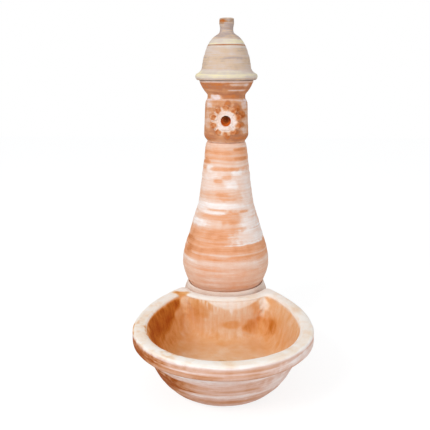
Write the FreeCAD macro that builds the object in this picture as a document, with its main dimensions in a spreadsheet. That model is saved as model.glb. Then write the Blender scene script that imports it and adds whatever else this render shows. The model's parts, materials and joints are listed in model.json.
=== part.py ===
import FreeCAD, Part
import os
from math import atan2, cos, pi, radians, sin, sqrt
from types import SimpleNamespace

import Sketcher

# Terracotta garden fountain: a basin with a notch at its back, and behind it a pedestal, a column,
# a spout head and a lift-off cap stacked on one axis, with the water works inside them.
# The origin is on the ground under the column's axis, +Z is up and the basin lies towards -Y.

# Driving dimensions in millimetres, slopes in degrees
SIZES = {
    # basin rim
    "rim_height": 195.0,
    "rim_roll": 41.0,
    "rim_radius": 255.0,
    "rim_centre": 363.0,
    "rim_width": 34.0,
    "rim_overhang": 36.0,
    "rim_corner": 13.0,
    "rim_round": 10.0,
    "side_slant": 3.5,
    "side_swing": 240.0,
    "notch_gap": 10.0,
    "notch_overhang": 13.0,
    "notch_rim_width": 36.0,
    # basin bowl, at the belly, at the hip below it and at the foot
    "belly_height": 100.0,
    "belly_radius": 204.0,
    "belly_centre": 360.0,
    "belly_setback": 4.0,
    "belly_corner": 16.0,
    "hip_height": 45.0,
    "hip_radius": 176.0,
    "hip_centre": 350.0,
    "hip_setback": 12.0,
    "hip_corner": 22.0,
    "foot_radius": 133.0,
    "foot_centre": 335.0,
    "foot_setback": 30.0,
    "foot_corner": 30.0,
    "foot_ring": 22.0,
    # basin inside
    "bowl_wall": 15.0,
    "floor_height": 58.0,
    "floor_thickness": 14.0,
    "bed_radius": 158.0,
    "bed_centre": 352.0,
    "bed_setback": 42.0,
    "bed_corner": 24.0,
    # pedestal
    "pedestal_radius": 150.0,
    "pedestal_shoulder": 95.0,
    "pedestal_height": 202.0,
    "pedestal_wall": 13.0,
    "pedestal_floor": 11.0,
    "lip_gap": 1.2,
    "lip_thickness": 3.0,
    "seat_gap": 2.4,
    "seat_height": 184.0,
    "seat_bore": 86.0,
    "seat_thickness": 14.0,
    # column, heights above its seat
    "column_length": 487.0,
    "column_wall": 12.0,
    "bulb_radius": 144.0,
    "bulb_rise": 92.0,
    "waist_rise": 313.0,
    "waist_radius": 86.5,
    "waist_bend": 240.0,
    "neck_radius": 66.5,
    "neck_lip_radius": 61.0,
    "neck_lip_height": 16.0,
    "neck_lip_bend": 26.0,
    # spout head, heights above its base
    "head_length": 192.0,
    "head_wall": 12.5,
    "head_foot": 4.2,
    "drum_bottom": 25.0,
    "drum_low_radius": 71.5,
    "drum_top": 118.0,
    "drum_high_radius": 67.5,
    "drum_edge_bend": 28.0,
    "collar_bottom": 136.0,
    "collar_radius": 60.0,
    "collar_bend": 22.0,
    "flare_bottom": 147.0,
    "flare_radius": 87.0,
    "flare_bend": 130.0,
    "mouth_radius": 60.0,
    "mouth_depth": 20.0,
    "head_bore": 36.0,
    "head_spigot_length": 18.0,
    "spigot_gap": 2.0,
    # cap, heights above its brim's underside
    "cap_height": 187.0,
    "cap_wall": 11.0,
    "cap_spigot_length": 14.0,
    "cap_spigot_wall": 8.5,
    "brim_radius": 98.5,
    "brim_rest": 92.0,
    "brim_middle": 12.0,
    "brim_top": 20.0,
    "brim_round": 14.0,
    "brim_slope_radius": 94.0,
    "skirt_bottom": 37.0,
    "skirt_radius": 77.5,
    "skirt_bend": 230.0,
    "brim_cove": 26.0,
    "groove_height": 104.0,
    "groove_radius": 60.0,
    "groove_depth": 2.0,
    "groove_width": 4.0,
    "dome_top": 138.0,
    "dome_top_radius": 33.0,
    "dome_bend": 150.0,
    "knob_bottom": 150.0,
    "knob_waist_radius": 20.4,
    "knob_flare_height": 170.0,
    "knob_radius": 23.4,
    "knob_round": 5.0,
    # spout and rosette
    "spout_rise": 71.0,
    "spout_slope": 20.0,
    "spout_bore": 15.0,
    "spout_wall": 4.0,
    "spout_length": 55.0,
    "spout_fit": 0.3,
    "bung_length": 18.0,
    "bung_radius": 12.0,
    "push_fit": 0.05,
    "rosette_radius": 51.0,
    "rosette_plate": 2.2,
    "rosette_plate_radius": 46.0,
    "rosette_relief": 6.0,
    "rosette_ring": 28.0,
    "rosette_hole_step": 0.5,
    "petal_length": 26.0,
    "petal_width": 22.0,
    "petal_rim": 3.5,
    "petal_scoop": 3.5,
    # riser
    "riser_radius": 8.0,
    "riser_wall": 2.0,
    "elbow_bend": 14.0,
    "elbow_socket": 20.0,
    "socket_wall": 3.0,
    "sleeve_length": 44.0,
    "sleeve_wall": 3.0,
    "sleeve_middle": 4.0,
    "clip_height": 8.0,
    "clip_band": 1.2,
    "clip_housing": 9.0,
    "clip_housing_width": 13.5,
    # drain and return
    "drain_flange": 36.0,
    "drain_flange_height": 5.0,
    "drain_tail": 22.0,
    "drain_wall": 4.0,
    "drain_hole_gap": 1.0,
    "gasket_thickness": 2.0,
    "nut_height": 8.0,
    "nut_radius": 33.0,
    "strainer_radius": 29.0,
    "strainer_thickness": 2.5,
    "strainer_gap": 0.5,
    "strainer_slot": 4.0,
    "strainer_slot_start": 10.0,
    "strainer_knob": 5.0,
    "strainer_knob_height": 14.0,
    "cup_wall": 3.5,
    "cup_sink": 2.0,
    "return_height": 22.5,
    "return_radius": 10.0,
    "return_wall": 2.0,
    "return_socket": 22.0,
    "return_entry": 26.0,
    "arch_gap": 6.0,
    "grommet_wall": 4.0,
    "grommet_flange": 18.0,
    "grommet_flange_thickness": 4.0,
    # pump
    "pump_lift": 8.0,
    "pump_width": 56.0,
    "pump_height": 58.0,
    "motor_length": 60.0,
    "motor_round": 4.0,
    "volute_radius": 26.0,
    "volute_length": 28.0,
    "volute_wall": 4.0,
    "volute_flange": 5.0,
    "inlet_radius": 10.0,
    "outlet_length": 58.0,
    "seal_thickness": 2.0,
    "well_radius": 12.5,
    "well_depth": 44.0,
    "rotor_gap": 1.0,
    "impeller_radius": 19.0,
    "impeller_disc": 3.0,
    "vane_length": 11.0,
    "vane_thickness": 2.0,
    "shaft_radius": 2.0,
    "shaft_fit": 0.05,
    "bush_wall": 2.4,
    "bush_length": 5.0,
    "hub_wall": 2.0,
    "screw_radius": 2.0,
    "screw_length": 14.0,
    "screw_head": 3.6,
    "screw_head_height": 2.5,
    "screw_inset": 6.0,
    "intake_wall": 3.0,
    "intake_length": 16.0,
    "intake_fit": 0.3,
    "intake_slot": 3.0,
    "intake_slot_margin": 4.5,
    "window_radius": 5.0,
    "window_ring": 13.0,
    "dial_radius": 21.0,
    "dial_thickness": 3.0,
    "dial_gap": 0.3,
    "dial_post": 4.0,
    "dial_cap": 6.0,
    "dial_grip": 4.0,
    "dial_grip_length": 8.0,
    "cup_radius": 9.0,
    "cup_neck": 5.0,
    "cup_stem": 2.5,
    "cup_stem_length": 6.0,
    "cup_inset": 12.0,
    "gland_radius": 8.0,
    "gland_length": 12.0,
    "gland_shank": 6.0,
    "gland_shank_length": 8.0,
    "lead_bore": 3.6,
    "lead_height": 78.0,
    "lead_flange": 13.0,
    "lead_flange_thickness": 6.0,
    "lead_shank": 8.0,
    "lead_tail": 8.0,
}
PETALS = 10
STRAINER_SLOTS = 10
VANES = 6
INTAKE_SLOTS = 14
WINDOWS = 3
SPIDER_ARMS = 3
HEX_SIDES = 6
SAME_LEVEL = 0.01


class Size:
    """A measure that keeps its value beside the sheet formula that gives it."""

    def __init__(self, value, text):
        self.value = value
        self.text = text

    def joined(self, sign, other, value):
        return Size(value, f"({self.text} {sign} {other.text})")

    def __add__(self, other):
        other = measure(other)
        return self.joined("+", other, self.value + other.value)

    def __sub__(self, other):
        other = measure(other)
        return self.joined("-", other, self.value - other.value)

    def __mul__(self, other):
        other = measure(other)
        return self.joined("*", other, self.value * other.value)

    def __truediv__(self, other):
        other = measure(other)
        return self.joined("/", other, self.value / other.value)

    def __neg__(self):
        return Size(-self.value, f"(0 - {self.text})")


def measure(number):
    return number if isinstance(number, Size) else Size(float(number), f"{number}")


def sine(angle):
    return Size(sin(radians(angle.value)), f"sin({angle.text})")


def cosine(angle):
    return Size(cos(radians(angle.value)), f"cos({angle.text})")


def root(number):
    return Size(sqrt(number.value), f"sqrt({number.text})")


def across_ball(radius, offset):
    """Half-width of a ball at a level that lies offset from its centre."""
    return root(radius * radius - offset * offset)


def upright_bend(run, rise):
    """Radius of the round edge that starts upright and reaches run across and rise up."""
    return (run * run + rise * rise) / (run * 2)


doc = FreeCAD.newDocument("terracotta_fountain")
sheet = doc.addObject("Spreadsheet::Sheet", "dims")
for row, (alias, amount) in enumerate(SIZES.items(), 1):
    sheet.set(f"A{row}", alias)
    sheet.set(f"B{row}", f"{amount}")
    sheet.setAlias(f"B{row}", alias)
doc.recompute()
size = SimpleNamespace(**{alias: Size(amount, f"dims.{alias}") for alias, amount in SIZES.items()})

Vector = FreeCAD.Vector
UPRIGHT = (Vector(0, 0, 1), measure(0))
BACKWARD = (Vector(-1, 0, 0), measure(90))
FORWARD = (Vector(1, 0, 0), measure(90))
ALONG_SPOUT = (Vector(-1, 0, 0), measure(90) - size.spout_slope)


def bind(item, name, amount):
    """Set one property from a size and keep it tied to the sheet."""
    item.setExpression(name, measure(amount).text)


def place(item, base=(0, 0, 0), stance=UPRIGHT):
    """Stand an item at base with its own Z along the stance."""
    axis, angle = stance
    start = Vector(*[measure(amount).value for amount in base])
    item.Placement = FreeCAD.Placement(start, FreeCAD.Rotation(axis, angle.value))
    for letter, amount in zip("xyz", base):
        bind(item, f"Placement.Base.{letter}", amount)
    if angle.value:
        bind(item, "Placement.Rotation.Angle", angle)
    return item


def turn_about(item, pivot, axis, angle):
    """Turn a placed item about an axis through pivot by a fixed angle."""
    spin = FreeCAD.Rotation(axis, angle)
    for letter in "xyz":
        item.setExpression(f"Placement.Base.{letter}", None)
    item.setExpression("Placement.Rotation.Angle", None)
    swing = FreeCAD.Placement(Vector(0, 0, 0), spin, pivot)
    item.Placement = swing.multiply(item.Placement)
    return item


def cylinder(name, radius, length, base=(0, 0, 0), stance=UPRIGHT):
    item = doc.addObject("Part::Cylinder", name)
    bind(item, "Radius", radius)
    bind(item, "Height", length)
    return place(item, base, stance)


def cone(name, low_radius, high_radius, length, base=(0, 0, 0), stance=UPRIGHT):
    item = doc.addObject("Part::Cone", name)
    bind(item, "Radius1", low_radius)
    bind(item, "Radius2", high_radius)
    bind(item, "Height", length)
    return place(item, base, stance)


def block(name, wide, deep, tall, middle):
    """A box with its middle across and along at middle's x and y, and its bottom at z."""
    item = doc.addObject("Part::Box", name)
    bind(item, "Length", wide)
    bind(item, "Width", deep)
    bind(item, "Height", tall)
    across, along, bottom = [measure(amount) for amount in middle]
    return place(item, (across - measure(wide) / 2, along - measure(deep) / 2, bottom))


def fuse(name, *pieces):
    item = doc.addObject("Part::MultiFuse", name)
    item.Shapes = list(pieces)
    return item


def cut(name, base, *tools):
    item = doc.addObject("Part::Cut", name)
    item.Base = base
    item.Tool = tools[0] if len(tools) == 1 else fuse(name + "_tools", *tools)
    return item


def common(name, first, second):
    item = doc.addObject("Part::Common", name)
    item.Base = first
    item.Tool = second
    return item


def tube(name, radius, bore, length, base=(0, 0, 0), stance=UPRIGHT):
    return cut(
        name,
        cylinder(name + "_outside", radius, length, base, stance),
        cylinder(name + "_bore", bore, length, base, stance),
    )


def new_sketch(body, name, role, lift=None):
    sketch = body.newObject("Sketcher::SketchObject", name)
    plane = [item for item in body.Origin.OriginFeatures if item.Role == role][0]
    sketch.AttachmentSupport = [(plane, "")]
    sketch.MapMode = "FlatFace"
    if lift is not None:
        bind(sketch, "AttachmentOffset.Base.z", lift)
    return sketch


def fix(sketch, amount, *constraint):
    """Add a measured constraint that stays tied to the sheet."""
    kind, *where = constraint
    index = sketch.addConstraint(Sketcher.Constraint(kind, *where, measure(amount).value))
    sketch.setExpression(f"Constraints[{index}]", measure(amount).text)


def fix_point(sketch, edge, end, across, up):
    """Hold one end of an edge at its distance across and up from the sketch's origin."""
    for kind, axis, amount in (("DistanceX", -2, across), ("DistanceY", -1, up)):
        if measure(amount).value == 0:
            sketch.addConstraint(Sketcher.Constraint("PointOnObject", edge, end, axis))
        elif measure(amount).value > 0:
            fix(sketch, amount, kind, -1, 1, edge, end)
        else:
            fix(sketch, -amount, kind, edge, end, -1, 1)


def round_edge(start, finish, bend):
    """The arc from start to finish, bulging to the right of its way where bend is positive."""
    chord = finish - start
    left = Vector(-chord.y, chord.x, 0).normalize()
    reach = sqrt(bend * bend - chord.Length ** 2 / 4)
    centre = (start + finish) / 2 + left * (reach if bend > 0 else -reach)
    ends = [start, finish] if bend > 0 else [finish, start]
    angles = [atan2(point.y - centre.y, point.x - centre.x) for point in ends]
    return Part.ArcOfCircle(Part.Circle(centre, Vector(0, 0, 1), abs(bend)), *angles)


def trace(sketch, corners):
    """Draw a closed outline, anticlockwise, through corners of (across, up) or (across, up, bend).

    A bend is the radius of the round edge that leads to its corner, negative where it is hollow.
    """
    points = [Vector(measure(corner[0]).value, measure(corner[1]).value, 0) for corner in corners]
    bends = [corner[2] if len(corner) > 2 else None for corner in corners]
    starts = []
    ends = []
    for index, bend in enumerate(bends):
        start, finish = points[index - 1], points[index]
        hollow = bend is not None and bend.value < 0
        edge = Part.LineSegment(start, finish) if bend is None else round_edge(start, finish, bend.value)
        sketch.addGeometry(edge, False)
        starts.append(2 if hollow else 1)
        ends.append(1 if hollow else 2)
    for index, corner in enumerate(corners):
        following = (index + 1) % len(corners)
        sketch.addConstraint(
            Sketcher.Constraint("Coincident", index, ends[index], following, starts[following])
        )
        fix_point(sketch, index, ends[index], corner[0], corner[1])
    for index, bend in enumerate(bends):
        if bend is not None:
            fix(sketch, bend if bend.value > 0 else -bend, "Radius", index)


def spin_sketch(body, sketch):
    """Turn a sketch on the upright plane once about the body's Z axis."""
    turned = body.newObject("PartDesign::Revolution", body.Name + "_turning")
    turned.Profile = sketch
    turned.ReferenceAxis = (sketch, ["V_Axis"])
    turned.Angle = 360
    return body


def turning(name, corners, base=(0, 0, 0), stance=UPRIGHT):
    """A turned piece from the outline of one side, as radius and height."""
    body = doc.addObject("PartDesign::Body", name)
    sketch = new_sketch(body, name + "_outline", "XZ_Plane")
    trace(sketch, corners)
    spin_sketch(body, sketch)
    return place(body, base, stance)


# Levels and places that several pieces share
column_base = size.seat_height
head_base = column_base + size.column_length
cap_base = head_base + size.head_length
notch_wall = size.pedestal_radius + size.notch_gap
rim_notch = notch_wall - size.notch_overhang
spout_level = head_base + size.spout_rise
drum_taper = (size.drum_high_radius - size.drum_low_radius) / (size.drum_top - size.drum_bottom)
spout_face = size.drum_low_radius + drum_taper * (size.spout_rise - size.drum_bottom)
spout_depth = size.spout_length + size.bung_length
spout_along = cosine(size.spout_slope)
spout_up = sine(size.spout_slope)
rosette_level = spout_level - size.rosette_relief * spout_up / spout_along
riser_place = spout_depth * spout_along - spout_face + size.elbow_bend * (spout_up + 1)
elbow_level = spout_level + spout_depth * spout_up - size.elbow_bend * spout_along
pump_level = size.pedestal_floor + size.pump_lift + size.pump_height / 2
volute_front = riser_place - size.volute_length / 2
volute_back = riser_place + size.volute_length / 2
motor_front = volute_back + size.seal_thickness
motor_back = motor_front + size.motor_length
outlet_top = pump_level + size.outlet_length
drain_place = -size.rim_centre


def along_spout(distance):
    """A point on the spout's axis, this far in from the drum's face."""
    return (0, distance * spout_along - spout_face, distance * spout_up + spout_level)


# Basin
def meeting_point(centre, radius, reach):
    """The right-hand point at this radius from a centre and this reach from the column's axis."""
    toward = Vector(centre).normalize()
    along = (reach ** 2 - radius ** 2 + centre.Length ** 2) / (2 * centre.Length)
    return toward * along + Vector(-toward.y, toward.x, 0) * sqrt(reach ** 2 - along ** 2)


def basin_outline(body, name, height, radius, centre, notch, corner):
    """Round front, flatter round sides, two small round corners and the notch about the column."""
    slant = radians(size.side_slant.value)
    outward = Vector(cos(slant), sin(slant), 0)
    side_radius = radius + size.side_swing
    middle = Vector(0, -centre.value, 0)
    right_middle = middle - outward * size.side_swing.value
    left_middle = Vector(-right_middle.x, right_middle.y, 0)
    right = meeting_point(right_middle, (side_radius - corner).value, (notch + corner).value)
    left = Vector(-right.x, right.y, 0)
    side_end = atan2(right.y - right_middle.y, right.x - right_middle.x)
    meeting = atan2(-right.y, -right.x)
    axis = Vector(0, 0, 1)
    sketch = new_sketch(body, name, "XY_Plane", height)
    front, right_side, right_corner, back, left_corner, left_side = range(6)
    sketch.addGeometry(
        [
            Part.ArcOfCircle(Part.Circle(middle, axis, radius.value), pi - slant, 2 * pi + slant),
            Part.ArcOfCircle(Part.Circle(right_middle, axis, side_radius.value), slant, side_end),
            Part.ArcOfCircle(Part.Circle(right, axis, corner.value), side_end, meeting),
            Part.ArcOfCircle(Part.Circle(Vector(), axis, notch.value), -meeting, meeting - pi),
            Part.ArcOfCircle(Part.Circle(left, axis, corner.value), pi - meeting, pi - side_end),
            Part.ArcOfCircle(Part.Circle(left_middle, axis, side_radius.value), pi - side_end, pi - slant),
        ],
        False,
    )
    for joint in (
        (front, 2, right_side, 1),
        (right_side, 2, right_corner, 1),
        (right_corner, 2, back, 2),
        (back, 1, left_corner, 1),
        (left_corner, 2, left_side, 1),
        (left_side, 2, front, 1),
    ):
        sketch.addConstraint(Sketcher.Constraint("Tangent", *joint))
    sketch.addConstraint(Sketcher.Constraint("PointOnObject", front, 3, -2))
    sketch.addConstraint(Sketcher.Constraint("Coincident", back, 3, -1, 1))
    fix(sketch, centre, "Distance", -1, 1, front, 3)
    for edge, amount in (
        (front, radius), (back, notch), (right_corner, corner), (left_corner, corner),
        (right_side, side_radius), (left_side, side_radius),
    ):
        fix(sketch, amount, "Radius", edge)
    side_across = size.side_swing * cosine(size.side_slant)
    fix(sketch, side_across, "DistanceX", right_side, 3, -1, 1)
    fix(sketch, side_across, "DistanceX", -1, 1, left_side, 3)
    return sketch


def edges_level(shape, level):
    """Names of the edges that lie at one level."""
    names = []
    for number, edge in enumerate(shape.Edges, 1):
        heights = [point.z for point in edge.discretize(3)]
        if max(abs(height - level.value) for height in heights) < SAME_LEVEL:
            names.append(f"Edge{number}")
    return names


def round_edges(body, name, feature, edges, radius):
    rounded = body.newObject("PartDesign::Fillet", name)
    rounded.Base = (feature, edges)
    bind(rounded, "Radius", radius)
    doc.recompute()
    return rounded


def pocket(body, name, sketch, depth):
    """Cut a sketch upwards into the body."""
    hole = body.newObject("PartDesign::Pocket", name)
    hole.Profile = sketch
    hole.Reversed = True
    bind(hole, "Length", depth)
    return hole


def make_basin():
    body = doc.addObject("PartDesign::Body", "basin")
    shoulder = size.rim_height - size.rim_roll
    shoulder_radius = size.rim_radius - size.rim_overhang
    inner_notch = rim_notch + size.notch_rim_width
    roll = body.newObject("PartDesign::Pad", "basin_roll")
    roll.Profile = basin_outline(
        body, "rim_outline", shoulder, size.rim_radius, size.rim_centre, rim_notch, size.rim_corner
    )
    bind(roll, "Length", size.rim_roll)
    doc.recompute()
    round_edges(body, "roll_round", roll, edges_level(roll.Shape, shoulder), size.rim_round)
    bowl = body.newObject("PartDesign::AdditiveLoft", "basin_bowl")
    bowl.Profile = basin_outline(
        body, "foot_outline", measure(0), size.foot_radius, size.foot_centre,
        notch_wall + size.foot_setback, size.foot_corner,
    )
    belly_notch = notch_wall + size.belly_setback
    bowl.Sections = [
        basin_outline(
            body, "hip_outline", size.hip_height, size.hip_radius, size.hip_centre,
            notch_wall + size.hip_setback, size.hip_corner,
        ),
        basin_outline(
            body, "belly_outline", size.belly_height, size.belly_radius, size.belly_centre,
            belly_notch, size.belly_corner,
        ),
        basin_outline(
            body, "shoulder_outline", shoulder, shoulder_radius, size.rim_centre,
            notch_wall, size.rim_corner,
        ),
    ]
    doc.recompute()
    hollow = body.newObject("PartDesign::SubtractiveLoft", "basin_hollow")
    hollow.Profile = basin_outline(
        body, "bed_outline", size.floor_height, size.bed_radius, size.bed_centre,
        notch_wall + size.bed_setback, size.bed_corner,
    )
    hollow.Sections = [
        basin_outline(
            body, "inner_belly_outline", size.belly_height, size.belly_radius - size.bowl_wall,
            size.belly_centre, belly_notch + size.bowl_wall, size.belly_corner,
        ),
        basin_outline(
            body, "inner_shoulder_outline", shoulder, shoulder_radius - size.bowl_wall, size.rim_centre,
            inner_notch, size.rim_corner,
        ),
        basin_outline(
            body, "inner_rim_outline", size.rim_height, size.rim_radius - size.rim_width, size.rim_centre,
            inner_notch, size.rim_corner,
        ),
    ]
    doc.recompute()
    round_edges(body, "rim_round", hollow, edges_level(hollow.Shape, size.rim_height), size.rim_round)
    recess_sketch = new_sketch(body, "foot_recess_outline", "XY_Plane")
    recess_sketch.addGeometry(
        Part.Circle(Vector(0, -size.foot_centre.value, 0), Vector(0, 0, 1), size.foot_radius.value), False
    )
    recess_sketch.addConstraint(Sketcher.Constraint("PointOnObject", 0, 3, -2))
    fix(recess_sketch, size.foot_centre, "Distance", -1, 1, 0, 3)
    fix(recess_sketch, size.foot_radius - size.foot_ring, "Radius", 0)
    underside = size.floor_height - size.floor_thickness
    pocket(body, "foot_recess", recess_sketch, underside)
    arch_half = size.return_radius + size.arch_gap
    arch_sketch = new_sketch(body, "pipe_arch_outline", "XY_Plane")
    trace(
        arch_sketch,
        [
            (-arch_half, -size.foot_centre),
            (arch_half, -size.foot_centre),
            (arch_half, -size.pedestal_radius),
            (-arch_half, -size.pedestal_radius),
        ],
    )
    pocket(body, "pipe_arch", arch_sketch, underside)
    drain_sketch = new_sketch(body, "drain_hole_outline", "XY_Plane")
    drain_sketch.addGeometry(
        Part.Circle(Vector(0, drain_place.value, 0), Vector(0, 0, 1), size.drain_tail.value), False
    )
    drain_sketch.addConstraint(Sketcher.Constraint("PointOnObject", 0, 3, -2))
    fix(drain_sketch, -drain_place, "Distance", -1, 1, 0, 3)
    fix(drain_sketch, size.drain_tail + size.drain_hole_gap, "Radius", 0)
    pocket(body, "drain_hole", drain_sketch, size.floor_height)
    return body


# Pedestal
def make_pedestal():
    lip_drop = size.bulb_rise - (size.pedestal_height - size.seat_height)
    lip_inner = across_ball(size.bulb_radius, lip_drop) + size.lip_gap
    lip_outer = lip_inner + size.lip_thickness
    ledge = across_ball(size.bulb_radius, size.bulb_rise) + size.seat_gap
    inside = size.pedestal_radius - size.pedestal_wall
    seat_underside = size.seat_height - size.seat_thickness
    shoulder_bend = upright_bend(
        size.pedestal_radius - lip_outer, size.pedestal_height - size.pedestal_shoulder
    )
    pot = turning(
        "pedestal_pot",
        [
            (0, 0),
            (size.pedestal_radius, 0),
            (size.pedestal_radius, size.pedestal_shoulder),
            (lip_outer, size.pedestal_height, shoulder_bend),
            (lip_inner, size.pedestal_height),
            (ledge, size.seat_height),
            (size.seat_bore, size.seat_height),
            (size.seat_bore, seat_underside),
            (ledge, seat_underside - size.seat_thickness),
            (inside, size.pedestal_shoulder),
            (inside, size.pedestal_floor),
            (0, size.pedestal_floor),
        ],
    )
    return_hole = cylinder(
        "return_hole", size.return_radius + size.grommet_wall + size.push_fit, size.pedestal_radius,
        (0, 0, size.return_height), FORWARD,
    )
    lead_hole = cylinder(
        "lead_hole", size.lead_shank + size.spout_fit, size.pedestal_radius,
        (0, 0, size.lead_height), BACKWARD,
    )
    return cut("pedestal", pot, return_hole, lead_hole)


# Column
def column_form(name, inset):
    """The column's form drawn in by inset: bulb, slanting shoulder, hollow waist, neck and lip."""
    body = doc.addObject("PartDesign::Body", name)
    sketch = new_sketch(body, name + "_outline", "XZ_Plane")
    bulb = size.bulb_radius - inset
    waist_bend = size.waist_bend + inset
    waist_across = size.waist_radius - inset
    neck_across = size.neck_radius - inset
    lip_across = size.neck_lip_radius - inset
    neck_up = size.column_length - size.neck_lip_height
    foot_across = across_ball(bulb, size.bulb_rise)
    centre = Vector(0, size.bulb_rise.value, 0)
    waist_foot = Vector(waist_across.value, size.waist_rise.value, 0)
    neck_foot = Vector(neck_across.value, neck_up.value, 0)
    neck_way = (waist_foot - neck_foot).normalize()
    bend_centre = waist_foot + Vector(-neck_way.y, neck_way.x, 0) * waist_bend.value
    between = bend_centre - centre
    lean = atan2(between.y, between.x) - pi / 2
    lean += atan2((bulb + waist_bend).value, sqrt(between.Length ** 2 - (bulb + waist_bend).value ** 2))
    normal = Vector(cos(lean), sin(lean), 0)
    bulb_top = centre + normal * bulb.value
    cone_top = bend_centre - normal * waist_bend.value
    foot = Vector(foot_across.value, 0, 0)
    lip = Vector(lip_across.value, size.column_length.value, 0)
    axis = Vector(0, 0, 1)
    foot_angle = atan2(foot.y - centre.y, foot.x - centre.x)
    waist_angle = atan2(waist_foot.y - bend_centre.y, waist_foot.x - bend_centre.x)
    ground, ball, shoulder, waist, neck, lip_edge, top, middle = range(8)
    sketch.addGeometry(
        [
            Part.LineSegment(Vector(), foot),
            Part.ArcOfCircle(Part.Circle(centre, axis, bulb.value), foot_angle, lean),
            Part.LineSegment(bulb_top, cone_top),
            Part.ArcOfCircle(Part.Circle(bend_centre, axis, waist_bend.value), waist_angle, lean + pi),
            Part.LineSegment(waist_foot, neck_foot),
            round_edge(neck_foot, lip, size.neck_lip_bend.value),
            Part.LineSegment(lip, Vector(0, lip.y, 0)),
            Part.LineSegment(Vector(0, lip.y, 0), Vector()),
        ],
        False,
    )
    for joint in (
        ("Coincident", ground, 2, ball, 1),
        ("Tangent", ball, 2, shoulder, 1),
        ("Tangent", shoulder, 2, waist, 2),
        ("Tangent", waist, 1, neck, 1),
        ("Coincident", neck, 2, lip_edge, 1),
        ("Coincident", lip_edge, 2, top, 1),
        ("Coincident", top, 2, middle, 1),
        ("Coincident", middle, 2, ground, 1),
        ("PointOnObject", ball, 3, -2),
        ("PointOnObject", ball, 1, -1),
    ):
        sketch.addConstraint(Sketcher.Constraint(*joint))
    fix(sketch, size.bulb_rise, "DistanceY", -1, 1, ball, 3)
    for edge, amount in ((ball, bulb), (waist, waist_bend), (lip_edge, size.neck_lip_bend)):
        fix(sketch, amount, "Radius", edge)
    fix_point(sketch, ground, 1, 0, 0)
    fix_point(sketch, neck, 1, waist_across, size.waist_rise)
    fix_point(sketch, neck, 2, neck_across, neck_up)
    fix_point(sketch, lip_edge, 2, lip_across, size.column_length)
    fix_point(sketch, top, 2, 0, size.column_length)
    spin_sketch(body, sketch)
    return place(body, (0, 0, column_base))


def make_column():
    outside = column_form("column_outside", measure(0))
    return cut("column", outside, column_form("column_inside", size.column_wall))


# Spout head, its rosette and the clay spout pipe
def make_spout_head():
    spigot = size.neck_lip_radius - size.column_wall - size.spigot_gap
    mouth_bottom = size.head_length - size.mouth_depth
    collar_bore = size.collar_radius - size.head_wall
    drum = turning(
        "spout_head_turned",
        [
            (size.head_bore, -size.head_spigot_length),
            (spigot, -size.head_spigot_length),
            (spigot, 0),
            (size.neck_lip_radius, 0),
            (size.neck_lip_radius, size.head_foot),
            (size.drum_low_radius, size.drum_bottom, size.drum_edge_bend),
            (size.drum_high_radius, size.drum_top),
            (size.collar_radius, size.collar_bottom, size.collar_bend),
            (size.collar_radius, size.flare_bottom),
            (size.flare_radius, size.head_length, size.flare_bend),
            (size.mouth_radius, size.head_length),
            (size.mouth_radius, mouth_bottom),
            (collar_bore, size.flare_bottom),
            (collar_bore, size.collar_bottom),
            (size.drum_high_radius - size.head_wall, size.drum_top),
            (size.drum_low_radius - size.head_wall, size.drum_bottom),
            (size.head_bore, size.head_foot),
        ],
        (0, 0, head_base),
    )
    hole = cylinder(
        "spout_hole", size.spout_bore + size.spout_wall + size.spout_fit, spout_depth * 2,
        along_spout(-spout_depth), ALONG_SPOUT,
    )
    return cut("spout_head", drum, hole), make_rosette(drum)


def drum_cone(name, proud):
    """The drum's tapered form, standing proud of the clay by this much."""
    return cone(
        name, size.drum_low_radius + proud, size.drum_high_radius + proud, size.drum_top - size.drum_bottom,
        (0, 0, head_base + size.drum_bottom),
    )


def make_spout_pipe():
    socket = size.bung_radius + size.push_fit
    outside = size.spout_bore + size.spout_wall
    bore_start = -size.spout_bore
    pipe = turning(
        "spout_pipe_turned",
        [
            (size.spout_bore, bore_start),
            (outside, bore_start),
            (outside, spout_depth),
            (socket, spout_depth),
            (socket, size.spout_length),
            (size.spout_bore, size.spout_length),
        ],
        along_spout(measure(0)),
        ALONG_SPOUT,
    )
    return common("spout_pipe", pipe, drum_cone("spout_pipe_trim", 0))


def rosette_disc(name, radius, thickness):
    """A disc of the drum's curve, centred on the spout."""
    disc = cylinder(name + "_round", radius, size.drum_low_radius * 2, (0, 0, rosette_level), FORWARD)
    return common(name, disc, drum_cone(name + "_skin", thickness))


def petal_form(name, number, inset, depth, proud):
    """One petal's rounded form drawn in by inset, its middle this far proud of the drum's face."""
    petal = doc.addObject("Part::Ellipsoid", name)
    bind(petal, "Radius1", size.petal_length / 2 - inset)
    bind(petal, "Radius2", size.petal_width / 2 - inset)
    bind(petal, "Radius3", depth)
    petal_level = rosette_level + size.rosette_radius - size.petal_length / 2
    place(petal, (0, -spout_face - proud, petal_level))
    doc.recompute()
    middle = Vector(0, 0, rosette_level.value)
    return turn_about(petal, middle, Vector(0, 1, 0), 360 * number / PETALS)


def make_rosette(drum):
    """Ring and scooped petals laid on the drum and bored for the spout."""
    pieces = [
        rosette_disc("rosette_plate_disc", size.rosette_plate_radius, size.rosette_plate),
        rosette_disc("rosette_ring_disc", size.rosette_ring, size.rosette_relief),
    ]
    scoops = []
    for number in range(PETALS):
        pieces.append(petal_form(f"petal_{number + 1}", number, measure(0), size.rosette_relief, measure(0)))
        scoops.append(
            petal_form(f"scoop_{number + 1}", number, size.petal_rim, size.petal_scoop, size.rosette_relief)
        )
    flower = fuse("rosette_flower", *pieces)
    hole = cylinder(
        "rosette_hole", size.spout_bore + size.rosette_hole_step, spout_depth * 2,
        along_spout(-spout_depth), ALONG_SPOUT,
    )
    return cut("rosette", flower, drum_cone("rosette_seat", 0), drum, hole, *scoops)


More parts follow.
